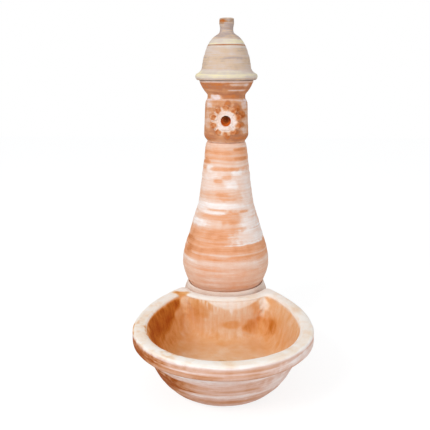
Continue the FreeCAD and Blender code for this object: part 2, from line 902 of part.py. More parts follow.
# Cap
def make_cap():
    spigot = size.mouth_radius - size.spigot_gap
    spigot_bore = spigot - size.cap_spigot_wall
    groove_bottom = size.groove_radius - size.groove_depth
    groove_top = size.groove_height + size.groove_width
    wall = size.cap_wall
    return turning(
        "cap",
        [
            (spigot_bore, -size.cap_spigot_length),
            (spigot, -size.cap_spigot_length),
            (spigot, 0),
            (size.brim_rest, 0),
            (size.brim_radius, size.brim_middle, size.brim_round),
            (size.brim_slope_radius, size.brim_top, size.brim_round),
            (size.skirt_radius, size.skirt_bottom, -size.brim_cove),
            (size.groove_radius, size.groove_height, size.skirt_bend),
            (groove_bottom, size.groove_height),
            (groove_bottom, groove_top),
            (size.dome_top_radius, size.dome_top, size.dome_bend),
            (size.knob_waist_radius, size.knob_bottom, -(size.knob_bottom - size.dome_top)),
            (size.knob_radius, size.knob_flare_height),
            (size.knob_radius, size.cap_height - size.knob_round),
            (size.knob_radius - size.knob_round, size.cap_height, size.knob_round),
            (0, size.cap_height),
            (0, size.dome_top - wall / 2),
            (size.dome_top_radius - wall, size.dome_top - wall / 2),
            (groove_bottom - wall, size.groove_height),
            (size.skirt_radius - wall, size.skirt_bottom),
            (spigot_bore, size.brim_middle / 2),
        ],
        (0, 0, cap_base),
    )


# Riser: bung, elbow, pipe, coupling sleeve and its clips
def make_spout_bung():
    return tube(
        "spout_bung", size.bung_radius, size.riser_radius + size.push_fit, size.bung_length,
        along_spout(size.spout_length), ALONG_SPOUT,
    )


def sweep_elbow(name, radius):
    """A round bar that rises, bends over towards the front and runs down the spout's axis."""
    body = doc.addObject("PartDesign::Body", name)
    turn_start = Vector(0, 0, 0)
    slope = radians(size.spout_slope.value)
    bend = size.elbow_bend.value
    reach = size.bung_length.value
    drop = size.riser_radius.value
    centre = Vector(-bend, 0, 0)
    turn_end = centre + Vector(-sin(slope), cos(slope), 0) * bend
    finish = turn_end - Vector(cos(slope), sin(slope), 0) * reach
    path = new_sketch(body, name + "_path", "YZ_Plane")
    path.addGeometry(
        [
            Part.LineSegment(Vector(0, -drop, 0), turn_start),
            Part.ArcOfCircle(Part.Circle(centre, Vector(0, 0, 1), bend), 0, pi / 2 + slope),
            Part.LineSegment(turn_end, finish),
        ],
        False,
    )
    path.addConstraint(Sketcher.Constraint("Tangent", 0, 2, 1, 1))
    path.addConstraint(Sketcher.Constraint("Tangent", 1, 2, 2, 1))
    path.addConstraint(Sketcher.Constraint("Coincident", 0, 2, -1, 1))
    path.addConstraint(Sketcher.Constraint("Vertical", 0))
    fix(path, size.riser_radius, "Distance", 0)
    fix(path, size.elbow_bend, "Radius", 1)
    fix(path, size.bung_length, "Distance", 2)
    index = path.addConstraint(Sketcher.Constraint("Angle", 2, slope - pi))
    path.setExpression(f"Constraints[{index}]", "dims.spout_slope - 180")
    ring = new_sketch(body, name + "_section", "XY_Plane", -size.riser_radius)
    ring.addGeometry(Part.Circle(Vector(), Vector(0, 0, 1), measure(radius).value), False)
    ring.addConstraint(Sketcher.Constraint("Coincident", 0, 3, -1, 1))
    fix(ring, radius, "Radius", 0)
    doc.recompute()
    sweep = body.newObject("PartDesign::AdditivePipe", name + "_sweep")
    sweep.Profile = ring
    sweep.Spine = (path, ["Edge1", "Edge2", "Edge3"])
    return place(body, (0, riser_place, elbow_level))


def make_spout_elbow():
    socket_top = elbow_level - size.riser_radius
    socket_base = (0, riser_place, socket_top - size.elbow_socket)
    socket = cylinder(
        "elbow_socket", size.riser_radius + size.socket_wall, size.elbow_socket, socket_base
    )
    socket_bore = cylinder(
        "elbow_socket_bore", size.riser_radius + size.push_fit, size.elbow_socket - size.riser_wall,
        socket_base,
    )
    way = cylinder("elbow_way", size.riser_radius - size.riser_wall, size.elbow_socket, socket_base)
    outside = fuse("elbow_outside", sweep_elbow("elbow_bar", size.riser_radius), socket)
    bend_way = sweep_elbow("elbow_bore", size.riser_radius - size.riser_wall)
    return cut("spout_elbow", outside, socket_bore, way, bend_way)


def make_riser_pipe():
    bottom = outlet_top + size.sleeve_middle
    top = elbow_level - size.riser_radius - size.riser_wall
    return tube(
        "riser_pipe", size.riser_radius, size.riser_radius - size.riser_wall, top - bottom,
        (0, riser_place, bottom),
    )


def make_riser_coupling():
    bore = size.riser_radius + size.push_fit
    bottom = outlet_top + size.sleeve_middle / 2 - size.sleeve_length / 2
    return tube(
        "riser_coupling", bore + size.sleeve_wall, bore, size.sleeve_length, (0, riser_place, bottom)
    )


def make_coupling_clips():
    bore = size.riser_radius + size.sleeve_wall + size.push_fit * 2
    middle = outlet_top + size.sleeve_middle / 2
    clips = []
    for name, way in (("lower", -1), ("upper", 1)):
        level = middle + size.sleeve_length / 4 * way - size.clip_height / 2
        base = (0, riser_place, level)
        band = cylinder(f"{name}_clip_band", bore + size.clip_band, size.clip_height, base)
        housing = block(
            f"{name}_clip_housing", size.clip_housing_width, size.clip_housing, size.clip_height,
            (0, riser_place + bore + size.clip_housing / 2, level),
        )
        solid = fuse(f"{name}_clip_solid", band, housing)
        way_through = cylinder(f"{name}_clip_bore", bore, size.clip_height, base)
        clips.append(cut(f"{name}_clip", solid, way_through))
    group = doc.addObject("Part::Compound", "coupling_clips")
    group.Links = clips
    return group


# Drain and return
def make_drain():
    floor = size.floor_height
    underside = floor - size.floor_thickness
    flange_base = floor + size.gasket_thickness
    flange_top = flange_base + size.drain_flange_height
    bore = size.drain_tail - size.drain_wall
    tail_end = underside - size.nut_height - size.cup_wall
    seat = flange_top - size.strainer_thickness
    here = (0, drain_place, 0)
    body = turning(
        "drain_body",
        [
            (bore, tail_end),
            (size.drain_tail, tail_end),
            (size.drain_tail, flange_base),
            (size.drain_flange, flange_base),
            (size.drain_flange, flange_top),
            (size.strainer_radius + size.strainer_gap, flange_top),
            (size.strainer_radius + size.strainer_gap, seat),
            (bore, seat),
        ],
        here,
    )
    gasket = tube(
        "drain_gasket", size.drain_flange, size.drain_tail + size.push_fit, size.gasket_thickness,
        (0, drain_place, floor),
    )
    nut_base = (0, drain_place, underside - size.nut_height)
    nut = cut(
        "drain_nut",
        hexagon("drain_nut_outside", size.nut_radius, size.nut_height, nut_base),
        cylinder("drain_nut_bore", size.drain_tail + size.push_fit, size.nut_height, nut_base),
    )
    return body, gasket, nut, make_strainer(seat)


def hexagon(name, radius, length, base, stance=UPRIGHT):
    item = doc.addObject("Part::Prism", name)
    item.Polygon = HEX_SIDES
    bind(item, "Circumradius", radius)
    bind(item, "Height", length)
    return place(item, base, stance)


def make_strainer(seat):
    """Slotted disc with a lifting knob, lying loose in the drain's seat."""
    disc = cylinder("strainer_disc", size.strainer_radius, size.strainer_thickness, (0, drain_place, seat))
    knob = cylinder(
        "strainer_post", size.strainer_knob, size.strainer_knob_height, (0, drain_place, seat)
    )
    slots = []
    middle = Vector(0, drain_place.value, 0)
    slot_length = size.drain_tail - size.drain_wall - size.strainer_slot_start
    for number in range(STRAINER_SLOTS):
        slot = block(
            f"strainer_slot_{number + 1}", slot_length, size.strainer_slot, size.strainer_thickness,
            (size.strainer_slot_start + slot_length / 2, drain_place, seat),
        )
        doc.recompute()
        slots.append(turn_about(slot, middle, Vector(0, 0, 1), 360 * number / STRAINER_SLOTS))
    return cut("drain_strainer", fuse("strainer_solid", disc, knob), *slots)


def make_return():
    underside = size.floor_height - size.floor_thickness
    level = size.return_height
    socket_radius = size.return_radius + size.cup_wall
    cup_bore = size.drain_tail + size.push_fit
    cup_outside = cup_bore + size.cup_wall
    cup_bottom = level - socket_radius - size.cup_sink
    cup_top = underside - size.nut_height
    cup = cylinder("return_cup", cup_outside, cup_top - cup_bottom, (0, drain_place, cup_bottom))
    arm = cylinder(
        "return_arm", socket_radius, cup_outside + size.return_socket, (0, drain_place, level), BACKWARD
    )
    hollow = cylinder(
        "return_cup_bore", cup_bore, cup_top - cup_bottom - size.cup_wall,
        (0, drain_place, cup_bottom + size.cup_wall),
    )
    arm_bore = cylinder(
        "return_arm_bore", size.return_radius + size.push_fit, cup_outside + size.return_socket,
        (0, drain_place, level), BACKWARD,
    )
    elbow = cut("return_elbow", fuse("return_elbow_outside", cup, arm), hollow, arm_bore)
    pipe_start = drain_place + cup_outside
    pipe_end = size.return_entry - size.pedestal_radius
    pipe = tube(
        "return_pipe", size.return_radius, size.return_radius - size.return_wall, pipe_end - pipe_start,
        (0, pipe_start, level), BACKWARD,
    )
    return elbow, pipe, make_return_grommet()


def make_return_grommet():
    """Rubber ring in the pedestal's wall, with a flange outside."""
    start = -size.pedestal_radius - size.grommet_flange_thickness
    bore = size.return_radius + size.push_fit
    body_length = size.grommet_flange_thickness + size.pedestal_wall
    return turning(
        "return_grommet",
        [
            (bore, 0),
            (size.grommet_flange, 0),
            (size.grommet_flange, size.grommet_flange_thickness),
            (size.return_radius + size.grommet_wall, size.grommet_flange_thickness),
            (size.return_radius + size.grommet_wall, body_length),
            (bore, body_length),
        ],
        (0, start, size.return_height),
        BACKWARD,
    )


# Pump
def pump_point(along):
    return (0, along, pump_level)


def corner_places(wide, long_start, long_end):
    """The four corners of a level rectangle, as across and along."""
    return [(wide * way, end) for way in (-1, 1) for end in (long_start, long_end)]


def screw_places():
    """The four screws, as across and level."""
    half_wide = size.pump_width / 2 - size.screw_inset
    half_tall = size.pump_height / 2 - size.screw_inset
    return [(half_wide * way, pump_level + half_tall * rise) for way in (-1, 1) for rise in (-1, 1)]


def runs_along(edge):
    """Whether an edge runs front to back rather than across or up."""
    way = edge.tangentAt(edge.FirstParameter)
    return abs(way.y) > abs(way.x) + abs(way.z)


def make_pump_body():
    body = doc.addObject("PartDesign::Body", "motor_block")
    sketch = new_sketch(body, "motor_section", "XZ_Plane", -motor_back)
    half = size.pump_width / 2
    low = pump_level - size.pump_height / 2
    high = pump_level + size.pump_height / 2
    trace(sketch, [(-half, low), (half, low), (half, high), (-half, high)])
    motor = body.newObject("PartDesign::Pad", "motor_pad")
    motor.Profile = sketch
    bind(motor, "Length", size.motor_length)
    doc.recompute()
    long_edges = [f"Edge{number}" for number, edge in enumerate(motor.Shape.Edges, 1) if runs_along(edge)]
    round_edges(body, "motor_rounds", motor, long_edges, size.motor_round)
    well = cylinder("rotor_well", size.well_radius, size.well_depth, pump_point(motor_front), BACKWARD)
    bush_seat = cylinder(
        "rear_bush_seat", size.shaft_radius + size.bush_wall + size.push_fit, size.bush_length,
        pump_point(motor_front + size.well_depth), BACKWARD,
    )
    gland_seat = cylinder(
        "pump_gland_seat", size.gland_shank + size.push_fit, size.gland_shank_length,
        pump_point(motor_back), FORWARD,
    )
    holes = []
    thread = size.screw_length - size.volute_flange - size.seal_thickness
    for number, (across, level) in enumerate(screw_places(), 1):
        holes.append(
            cylinder(
                f"screw_thread_{number}", size.screw_radius + size.push_fit, thread,
                (across, motor_front, level), BACKWARD,
            )
        )
    for number, (across, along) in enumerate(cup_places(), 1):
        holes.append(
            cylinder(
                f"cup_stem_hole_{number}", size.cup_stem + size.push_fit, size.cup_stem_length,
                (across, along, low),
            )
        )
    return cut("pump_body", body, well, bush_seat, gland_seat, *holes)


def cup_places():
    half = size.pump_width / 2 - size.cup_inset
    return corner_places(half, motor_front + size.cup_inset, motor_back - size.cup_inset)


def make_pump_volute():
    """Round chamber with a flange, an outlet above and a three-armed bush holder in its inlet."""
    front = pump_point(volute_front)
    barrel = cylinder("volute_barrel", size.volute_radius, size.volute_length, front, BACKWARD)
    flange = block(
        "volute_flange_plate", size.pump_width, size.volute_flange, size.pump_height,
        (0, volute_back - size.volute_flange / 2, pump_level - size.pump_height / 2),
    )
    outlet = cylinder("volute_outlet", size.riser_radius, size.outlet_length, pump_point(riser_place))
    chamber = cylinder(
        "volute_chamber", size.volute_radius - size.volute_wall, size.volute_length - size.volute_wall,
        pump_point(volute_front + size.volute_wall), BACKWARD,
    )
    inlet = cylinder("volute_inlet", size.inlet_radius, size.volute_wall, front, BACKWARD)
    outlet_way = cylinder(
        "volute_outlet_way", size.riser_radius - size.riser_wall, size.outlet_length,
        pump_point(riser_place),
    )
    holes = [
        cylinder(
            f"flange_hole_{number}", size.screw_radius + size.push_fit, size.volute_flange,
            (across, volute_back - size.volute_flange, level), BACKWARD,
        )
        for number, (across, level) in enumerate(screw_places(), 1)
    ]
    shell = cut(
        "volute_shell", fuse("volute_outside", barrel, flange, outlet), chamber, inlet, outlet_way, *holes
    )
    bush_radius = size.shaft_radius + size.bush_wall + size.push_fit
    hub = cylinder("bush_hub", bush_radius + size.hub_wall, size.volute_wall, front, BACKWARD)
    arms = []
    for number in range(SPIDER_ARMS):
        arm = block(
            f"bush_arm_{number + 1}", size.hub_wall, size.volute_wall, size.inlet_radius + size.hub_wall,
            (0, volute_front + size.volute_wall / 2, pump_level),
        )
        doc.recompute()
        middle = Vector(0, 0, pump_level.value)
        arms.append(turn_about(arm, middle, Vector(0, 1, 0), 360 * number / SPIDER_ARMS))
    bush_hole = cylinder("front_bush_hole", bush_radius, size.volute_wall, front, BACKWARD)
    return cut("pump_volute", fuse("volute_spider", shell, hub, *arms), bush_hole)


def make_volute_seal():
    return tube(
        "volute_seal", size.volute_radius, size.volute_radius - size.volute_wall, size.seal_thickness,
        pump_point(volute_back), BACKWARD,
    )


def make_pump_screws():
    head_front = volute_back - size.volute_flange - size.screw_head_height
    screws = []
    for number, (across, level) in enumerate(screw_places(), 1):
        start = (across, head_front, level)
        head = cylinder(f"screw_head_{number}", size.screw_head, size.screw_head_height, start, BACKWARD)
        whole_length = size.screw_head_height + size.screw_length
        shank = cylinder(f"screw_shank_{number}", size.screw_radius, whole_length, start, BACKWARD)
        screws.append(fuse(f"pump_screw_{number}", head, shank))
    group = doc.addObject("Part::Compound", "pump_screws")
    group.Links = screws
    return group


def make_pump_intake():
    """Slotted cap over the volute's front, with windows and the post that carries the dial."""
    bore = size.volute_radius + size.intake_fit
    outside = bore + size.intake_wall
    front = volute_front - size.intake_length
    barrel_length = size.intake_length + size.volute_length / 2 - size.riser_radius - size.rotor_gap
    barrel = cylinder("intake_barrel", outside, barrel_length, pump_point(front), BACKWARD)
    post_length = size.dial_thickness + size.dial_gap * 2
    post = cylinder("dial_post", size.dial_post, post_length, pump_point(front), FORWARD)
    stop = cylinder("dial_stop", size.dial_cap, size.intake_wall, pump_point(front - post_length), FORWARD)
    hollow = cylinder(
        "intake_hollow", bore, barrel_length - size.intake_wall,
        pump_point(front + size.intake_wall), BACKWARD,
    )
    rest = tube(
        "intake_rest", bore, size.inlet_radius, size.intake_wall,
        pump_point(volute_front - size.intake_wall), BACKWARD,
    )
    cuts = []
    middle = Vector(0, 0, pump_level.value)
    slot_length = size.intake_length - size.intake_slot_margin * 2
    for number in range(INTAKE_SLOTS):
        slot = block(
            f"intake_slot_{number + 1}", size.intake_slot, slot_length, outside + size.intake_slot,
            (0, front + size.intake_length / 2, pump_level),
        )
        doc.recompute()
        cuts.append(turn_about(slot, middle, Vector(0, 1, 0), 360 * number / INTAKE_SLOTS))
    cuts += dial_windows("intake_window", front, size.intake_wall, BACKWARD)
    shell = cut("intake_shell", barrel, hollow, *cuts)
    return fuse("pump_intake", shell, post, stop, rest)


def dial_windows(name, along, depth, stance):
    """Round windows on a ring about the pump's axis."""
    windows = []
    middle = Vector(0, 0, pump_level.value)
    for number in range(WINDOWS):
        window = cylinder(
            f"{name}_{number + 1}", size.window_radius, depth,
            (0, along, pump_level + size.window_ring), stance,
        )
        doc.recompute()
        windows.append(turn_about(window, middle, Vector(0, 1, 0), 360 * number / WINDOWS))
    return windows


def make_flow_dial():
    back = volute_front - size.intake_length - size.dial_gap
    disc = cylinder("dial_disc", size.dial_radius, size.dial_thickness, pump_point(back), FORWARD)
    grip_depth = size.dial_thickness + size.dial_grip
    grip = block(
        "dial_grip_rib", size.dial_grip, grip_depth, size.dial_grip_length,
        (0, back - grip_depth / 2, pump_level - size.dial_radius),
    )
    bore = cylinder(
        "dial_bore", size.dial_post + size.shaft_fit, size.dial_thickness, pump_point(back), FORWARD
    )
    holes = dial_windows("dial_window", back, size.dial_thickness, FORWARD)
    return cut("flow_dial", fuse("dial_solid", disc, grip), bore, *holes)


def make_pump_rotor():
    disc_front = volute_back - size.impeller_disc
    disc = cylinder(
        "impeller_plate", size.impeller_radius, size.impeller_disc, pump_point(disc_front), BACKWARD
    )
    magnet_length = size.seal_thickness + size.well_depth - size.rotor_gap
    magnet = cylinder(
        "rotor_magnet", size.well_radius - size.rotor_gap, magnet_length, pump_point(volute_back), BACKWARD
    )
    hub_radius = size.shaft_radius + size.bush_wall
    hub = cylinder("impeller_hub", hub_radius, size.vane_length, pump_point(disc_front), FORWARD)
    vanes = []
    middle = Vector(0, 0, pump_level.value)
    for number in range(VANES):
        vane = block(
            f"impeller_vane_{number + 1}", size.vane_thickness, size.vane_length, size.impeller_radius,
            (0, disc_front - size.vane_length / 2, pump_level),
        )
        doc.recompute()
        vanes.append(turn_about(vane, middle, Vector(0, 1, 0), 360 * number / VANES))
    solid = fuse("rotor_solid", disc, magnet, hub, *vanes)
    rotor_length = size.vane_length + size.impeller_disc + magnet_length
    shaft_way = cylinder(
        "rotor_bore", size.shaft_radius + size.shaft_fit, rotor_length,
        pump_point(disc_front - size.vane_length), BACKWARD,
    )
    return cut("pump_rotor", solid, shaft_way)


def make_rotor_shaft():
    length = motor_front + size.well_depth + size.bush_length - volute_front
    return cylinder("rotor_shaft", size.shaft_radius, length, pump_point(volute_front), BACKWARD)


def make_shaft_bushes():
    radius = size.shaft_radius + size.bush_wall
    bore = size.shaft_radius + size.shaft_fit
    bushes = [
        tube("front_bush", radius, bore, size.volute_wall, pump_point(volute_front), BACKWARD),
        tube(
            "rear_bush", radius, bore, size.bush_length,
            pump_point(motor_front + size.well_depth), BACKWARD,
        ),
    ]
    group = doc.addObject("Part::Compound", "shaft_bushes")
    group.Links = bushes
    return group


def make_pump_feet():
    cups = []
    for number, (across, along) in enumerate(cup_places(), 1):
        base = (across, along, size.pedestal_floor)
        skirt = cone(f"cup_skirt_{number}", size.cup_radius, size.cup_neck, size.pump_lift, base)
        stem = cylinder(f"cup_stem_{number}", size.cup_stem, size.pump_lift + size.cup_stem_length, base)
        cups.append(fuse(f"pump_foot_{number}", skirt, stem))
    group = doc.addObject("Part::Compound", "pump_feet")
    group.Links = cups
    return group


def make_pump_gland():
    back = pump_point(motor_back)
    shank = cylinder("pump_gland_shank", size.gland_shank, size.gland_shank_length, back, FORWARD)
    nut = hexagon("pump_gland_nut", size.gland_radius, size.gland_length, back, BACKWARD)
    bore = cylinder(
        "pump_gland_bore", size.lead_bore, size.gland_length + size.gland_shank_length,
        pump_point(motor_back - size.gland_shank_length), BACKWARD,
    )
    return cut("pump_gland", fuse("pump_gland_solid", shank, nut), bore)


# Sealed way out for the pump's lead
def make_lead_gland():
    level = size.lead_height
    outside = size.pedestal_radius
    inner_face = size.pedestal_radius - size.pedestal_wall
    shank_start = inner_face - size.lead_tail - size.spigot_gap
    shank_length = outside - shank_start
    thickness = size.lead_flange_thickness
    start = (0, shank_start, level)
    shank = cylinder("lead_shank_bar", size.lead_shank, shank_length, start, BACKWARD)
    flange = hexagon("lead_flange_hex", size.lead_flange, thickness, (0, outside, level), BACKWARD)
    bore = cylinder("lead_way", size.lead_bore, shank_length + thickness, start, BACKWARD)
    gland = cut("lead_gland", fuse("lead_gland_solid", shank, flange), bore)
    sag = inner_face - root(inner_face * inner_face - size.lead_flange * size.lead_flange)
    nut_base = (0, inner_face - sag - thickness, level)
    nut = cut(
        "lead_gland_nut",
        hexagon("lead_nut_hex", size.lead_flange, thickness, nut_base, BACKWARD),
        cylinder("lead_nut_bore", size.lead_shank + size.push_fit, thickness, nut_base, BACKWARD),
    )
    return gland, nut


pieces = [
    make_basin(),
    make_pedestal(),
    make_column(),
    *make_spout_head(),
    make_spout_pipe(),
    make_cap(),
    make_spout_bung(),
    make_spout_elbow(),
    make_riser_pipe(),
    make_riser_coupling(),
    make_coupling_clips(),
    *make_drain(),
    *make_return(),
    make_pump_body(),
    make_pump_volute(),
    make_volute_seal(),
    make_pump_screws(),
    make_pump_intake(),
    make_flow_dial(),
    make_pump_rotor(),
    make_rotor_shaft(),
    make_shaft_bushes(),
    make_pump_feet(),
    make_pump_gland(),
    *make_lead_gland(),
]
doc.recompute()

# Nothing is written unless every object came out whole
for item in doc.Objects:
    if "Invalid" in item.State or "Error" in item.State:
        raise RuntimeError(f"{item.Label} failed: {item.State}")
for piece in pieces:
    if piece.Shape.isNull() or not piece.Shape.isValid() or not piece.Shape.Solids:
        raise RuntimeError(f"{piece.Label} has no valid solid")

os.makedirs("parts", exist_ok=True)
for piece in pieces:
    piece.Shape.exportStep(os.path.join("parts", piece.Label + ".step"))
    solids = piece.Shape.Solids
    print(f"{piece.Label}: {len(solids)} solid(s), {piece.Shape.Volume / 1000:.1f} cm3")
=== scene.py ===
import json
from collections import namedtuple
from math import cos, radians, sin

import bmesh
import bpy
import numpy as np
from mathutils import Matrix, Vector, noise


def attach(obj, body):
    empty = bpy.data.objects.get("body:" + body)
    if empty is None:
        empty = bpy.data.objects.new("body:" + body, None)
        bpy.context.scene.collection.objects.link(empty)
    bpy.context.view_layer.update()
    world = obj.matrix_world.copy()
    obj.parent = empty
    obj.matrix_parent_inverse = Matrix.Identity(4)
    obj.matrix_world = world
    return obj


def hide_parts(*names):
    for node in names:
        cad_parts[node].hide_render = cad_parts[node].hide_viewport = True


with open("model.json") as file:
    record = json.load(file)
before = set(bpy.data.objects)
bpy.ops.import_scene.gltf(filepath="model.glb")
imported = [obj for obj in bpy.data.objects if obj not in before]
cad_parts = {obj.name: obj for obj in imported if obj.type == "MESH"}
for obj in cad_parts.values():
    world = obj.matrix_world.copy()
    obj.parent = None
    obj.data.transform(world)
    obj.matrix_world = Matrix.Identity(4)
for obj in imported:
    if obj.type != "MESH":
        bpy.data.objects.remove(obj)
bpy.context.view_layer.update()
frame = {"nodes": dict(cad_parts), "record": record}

# Terracotta garden fountain. Lengths are in metres and angles in degrees, in the frame's own axes:
# +Z up the column, -Y towards the basin at the front. An angle of 0 faces the front and 90 the right.

# Camera that took the photograph, for a square picture
PICTURE_SIDE = 430
FOCAL_PIXELS = 606
CAMERA_PLACE = (0.0353, -1.955, 0.9056)
CAMERA_DOWN = 13.8
CAMERA_LEFT = 2.086
SENSOR = 36.0

# Clay tones from burnt orange at 0 to white slip at 1, as sRGB
COLUMN_TONES = (
    (0.00, (168, 78, 18)),
    (0.20, (206, 128, 74)),
    (0.42, (234, 168, 126)),
    (0.62, (238, 198, 174)),
    (0.82, (246, 225, 214)),
    (1.00, (253, 246, 243)),
)
BASIN_OUTSIDE_TONES = (
    (0.00, (160, 78, 10)),
    (0.20, (198, 134, 90)),
    (0.42, (216, 168, 142)),
    (0.62, (228, 192, 176)),
    (0.82, (243, 224, 216)),
    (1.00, (253, 246, 243)),
)
BASIN_INSIDE_TONES = (
    (0.00, (172, 80, 0)),
    (0.20, (206, 125, 44)),
    (0.42, (231, 168, 106)),
    (0.62, (238, 194, 152)),
    (0.82, (247, 226, 204)),
    (1.00, (253, 246, 238)),
)
HEAD_TONES = (
    (0.00, (178, 92, 32)),
    (0.12, (206, 126, 68)),
    (0.24, (188, 125, 91)),
    (0.42, (214, 152, 108)),
    (0.62, (224, 184, 160)),
    (0.82, (236, 216, 212)),
    (1.00, (246, 236, 238)),
)
ROSETTE_TONES = (
    (0.00, (180, 92, 36)),
    (0.25, (206, 132, 84)),
    (0.50, (224, 172, 132)),
    (0.75, (234, 204, 186)),
    (1.00, (248, 236, 232)),
)
PEDESTAL_TONES = (
    (0.00, (158, 116, 92)),
    (0.40, (206, 173, 153)),
    (0.62, (220, 190, 172)),
    (0.82, (236, 214, 198)),
    (1.00, (248, 236, 226)),
)
CAP_TONES = (
    (0.00, (184, 100, 30)),
    (0.22, (184, 148, 116)),
    (0.36, (184, 167, 163)),
    (0.48, (214, 186, 157)),
    (0.62, (213, 193, 181)),
    (0.80, (219, 206, 193)),
    (1.00, (239, 226, 187)),
)
# The spout's tones run up to a bright orange, which is painted light deep in the pipe
SPOUT_TONES = (
    (0.00, (196, 88, 16)),
    (0.40, (232, 120, 36)),
    (1.00, (255, 190, 110)),
)

# A smear lies round a turned piece, and a patch anywhere. The bands of a piece are (height, tone) pairs.
# A working is what wheel and hands left: rings, lumps, and how far the surface sinks to stay in its solid.
Smear = namedtuple("Smear", "angle height spread depth tone")
Patch = namedtuple("Patch", "centre reach tone")
Working = namedtuple("Working", "ring_pitch ring_depth ring_seed lump_scale lump_depth lump_seed sink")
HIDDEN_TONE = 0.45


def linear(colour):
    """An sRGB colour of 0 to 255 as linear light with full alpha."""
    shares = [value / 255 for value in colour]
    light = [s / 12.92 if s <= 0.04045 else ((s + 0.055) / 1.055) ** 2.4 for s in shares]
    return (*light, 1.0)


# Hand-worked clay meshes
WELD_DISTANCE = 1e-6
SOFTENING = 0.5


def clay_copy(node, grain, softened):
    """A closed, evenly meshed copy of a CAD node, its edges softened as wet clay's are."""
    mesh = frame["nodes"][node].data.copy()
    mesh.materials.clear()
    welded = bmesh.new()
    welded.from_mesh(mesh)
    bmesh.ops.remove_doubles(welded, verts=welded.verts, dist=WELD_DISTANCE)
    welded.to_mesh(mesh)
    welded.free()
    piece = bpy.data.objects.new(f"{node}_clay", mesh)
    bpy.context.scene.collection.objects.link(piece)
    remesh = piece.modifiers.new("even_mesh", "REMESH")
    remesh.mode = "VOXEL"
    remesh.voxel_size = grain
    soften = piece.modifiers.new("soft_edges", "SMOOTH")
    soften.factor = SOFTENING
    soften.iterations = softened
    scene_state = bpy.context.evaluated_depsgraph_get()
    even = bpy.data.meshes.new_from_object(piece.evaluated_get(scene_state))
    piece.modifiers.clear()
    piece.data = even
    even.polygons.foreach_set("use_smooth", [True] * len(even.polygons))
    return piece


def points_of(piece):
    flat = np.empty(len(piece.data.vertices) * 3, np.float32)
    piece.data.vertices.foreach_get("co", flat)
    return flat.reshape(-1, 3).astype(float)


def normals_of(piece):
    flat = np.empty(len(piece.data.vertices) * 3, np.float32)
    piece.data.vertex_normals.foreach_get("vector", flat)
    return flat.reshape(-1, 3).astype(float)


def move_points(piece, points):
    piece.data.vertices.foreach_set("co", points.astype(np.float32).ravel())
    piece.data.update()


def push_out(piece, amounts):
    """Move every point along its normal by its amount."""
    move_points(piece, points_of(piece) + normals_of(piece) * amounts[:, None])


def soften_where(piece, shares, rounds):
    """Draw each point towards its neighbours' middle, as far as its share of 0 to 1 says."""
    points = points_of(piece)
    ends = np.empty(len(piece.data.edges) * 2, np.int32)
    piece.data.edges.foreach_get("vertices", ends)
    first, second = ends.reshape(-1, 2).T
    neighbours = np.bincount(ends, minlength=len(points))
    for _ in range(rounds):
        for axis in range(3):
            place = points[:, axis]
            total = np.bincount(first, place[second], len(place))
            total += np.bincount(second, place[first], len(place))
            points[:, axis] = place + SOFTENING * shares * (total / neighbours - place)
    move_points(piece, points)


def paint(piece, name, values):
    layer = piece.data.attributes.new(name, "FLOAT", "POINT")
    layer.data.foreach_set("value", np.clip(values, 0, 1).astype(np.float32))


def paint_clay(piece, tone, drip=0.0, lined=1.0):
    """Paint a clay piece's tone, how far its lines run down as drips, and how strong its lines are."""
    blank = np.zeros(len(piece.data.vertices))
    paint(piece, "slip", blank + tone)
    paint(piece, "drip", blank + drip)
    paint(piece, "lined", blank + lined)


# Patterns over a piece's points
SMEAR_WANDER = 0.0015
SMEAR_FRAY = 0.30
SMEAR_SQUARENESS = 3
SMEAR_OUTER = 1.25
SMEAR_INNER = 0.6
PATCH_OUTER = 1.15
PATCH_INNER = 0.55
RING_STEP = 0.1
RING_TILT = 0.25
RING_WOBBLE = 0.12
RING_GAIN = 2
SEED_SPREAD = 3.7
OUTWARD_LIMITS = (-0.2, 0.2)
UPWARD_SHARE = 0.5
OUTSIDE_FROM = 0.5


def rough(points, scale, seed):
    """Smooth noise from -1 to 1 at each point, with about scale bumps in a metre along each axis."""
    scales = np.broadcast_to(scale, 3)
    return np.array([noise.noise(Vector(point)) for point in points * scales + seed])


def soft_step(low, high, values):
    """0 up to low and 1 from high on, with a soft way between; the other way round where low is higher."""
    share = np.clip((values - low) / (high - low), 0, 1)
    return share * share * (3 - 2 * share)


def blend(tone, other, share):
    return tone + (other - tone) * share


def turn_angle(points, centre=(0.0, 0.0)):
    return np.degrees(np.arctan2(points[:, 0] - centre[0], centre[1] - points[:, 1]))


def radius_of(points):
    return np.hypot(points[:, 0], points[:, 1])


def wheel_rings(points, pitch, seed):
    """Irregular level rings that a potter's fingers leave, from -1 to 1."""
    angle = np.radians(turn_angle(points))
    tilt = RING_TILT * np.sin(angle + seed) + RING_WOBBLE * np.sin(2 * angle)
    level = points[:, 2] / pitch + tilt
    steps = np.arange(level.min() - 1, level.max() + 1, RING_STEP)
    heights = np.array([noise.noise(Vector((seed, SEED_SPREAD * seed, step))) for step in steps])
    return np.interp(level, steps, heights) * RING_GAIN


def worked(points, work, turned):
    """How far wheel and hands moved each point out; turned is 1 where the wheel's rings show."""
    rings = work.ring_depth * wheel_rings(points, work.ring_pitch, work.ring_seed) * turned
    return rings + work.lump_depth * rough(points, work.lump_scale, work.lump_seed) - work.sink


def outer_share(points, normals):
    """1 on faces that look away from the column's axis or up, 0 on the hollow inside."""
    across = np.stack([points[:, 0], points[:, 1]], 1) / np.maximum(radius_of(points), 1e-6)[:, None]
    upward = np.maximum(normals[:, 2], 0) * UPWARD_SHARE
    return soft_step(*OUTWARD_LIMITS, (across * normals[:, :2]).sum(1) + upward)


def shown_tone(outside, tone, hidden=HIDDEN_TONE):
    """The tone on the outside, and one plain tone in the hollow."""
    return np.where(outside > OUTSIDE_FROM, tone, hidden)


def band_tones(height, bands):
    heights, tones = np.array(bands).T
    return np.interp(height, heights, tones)


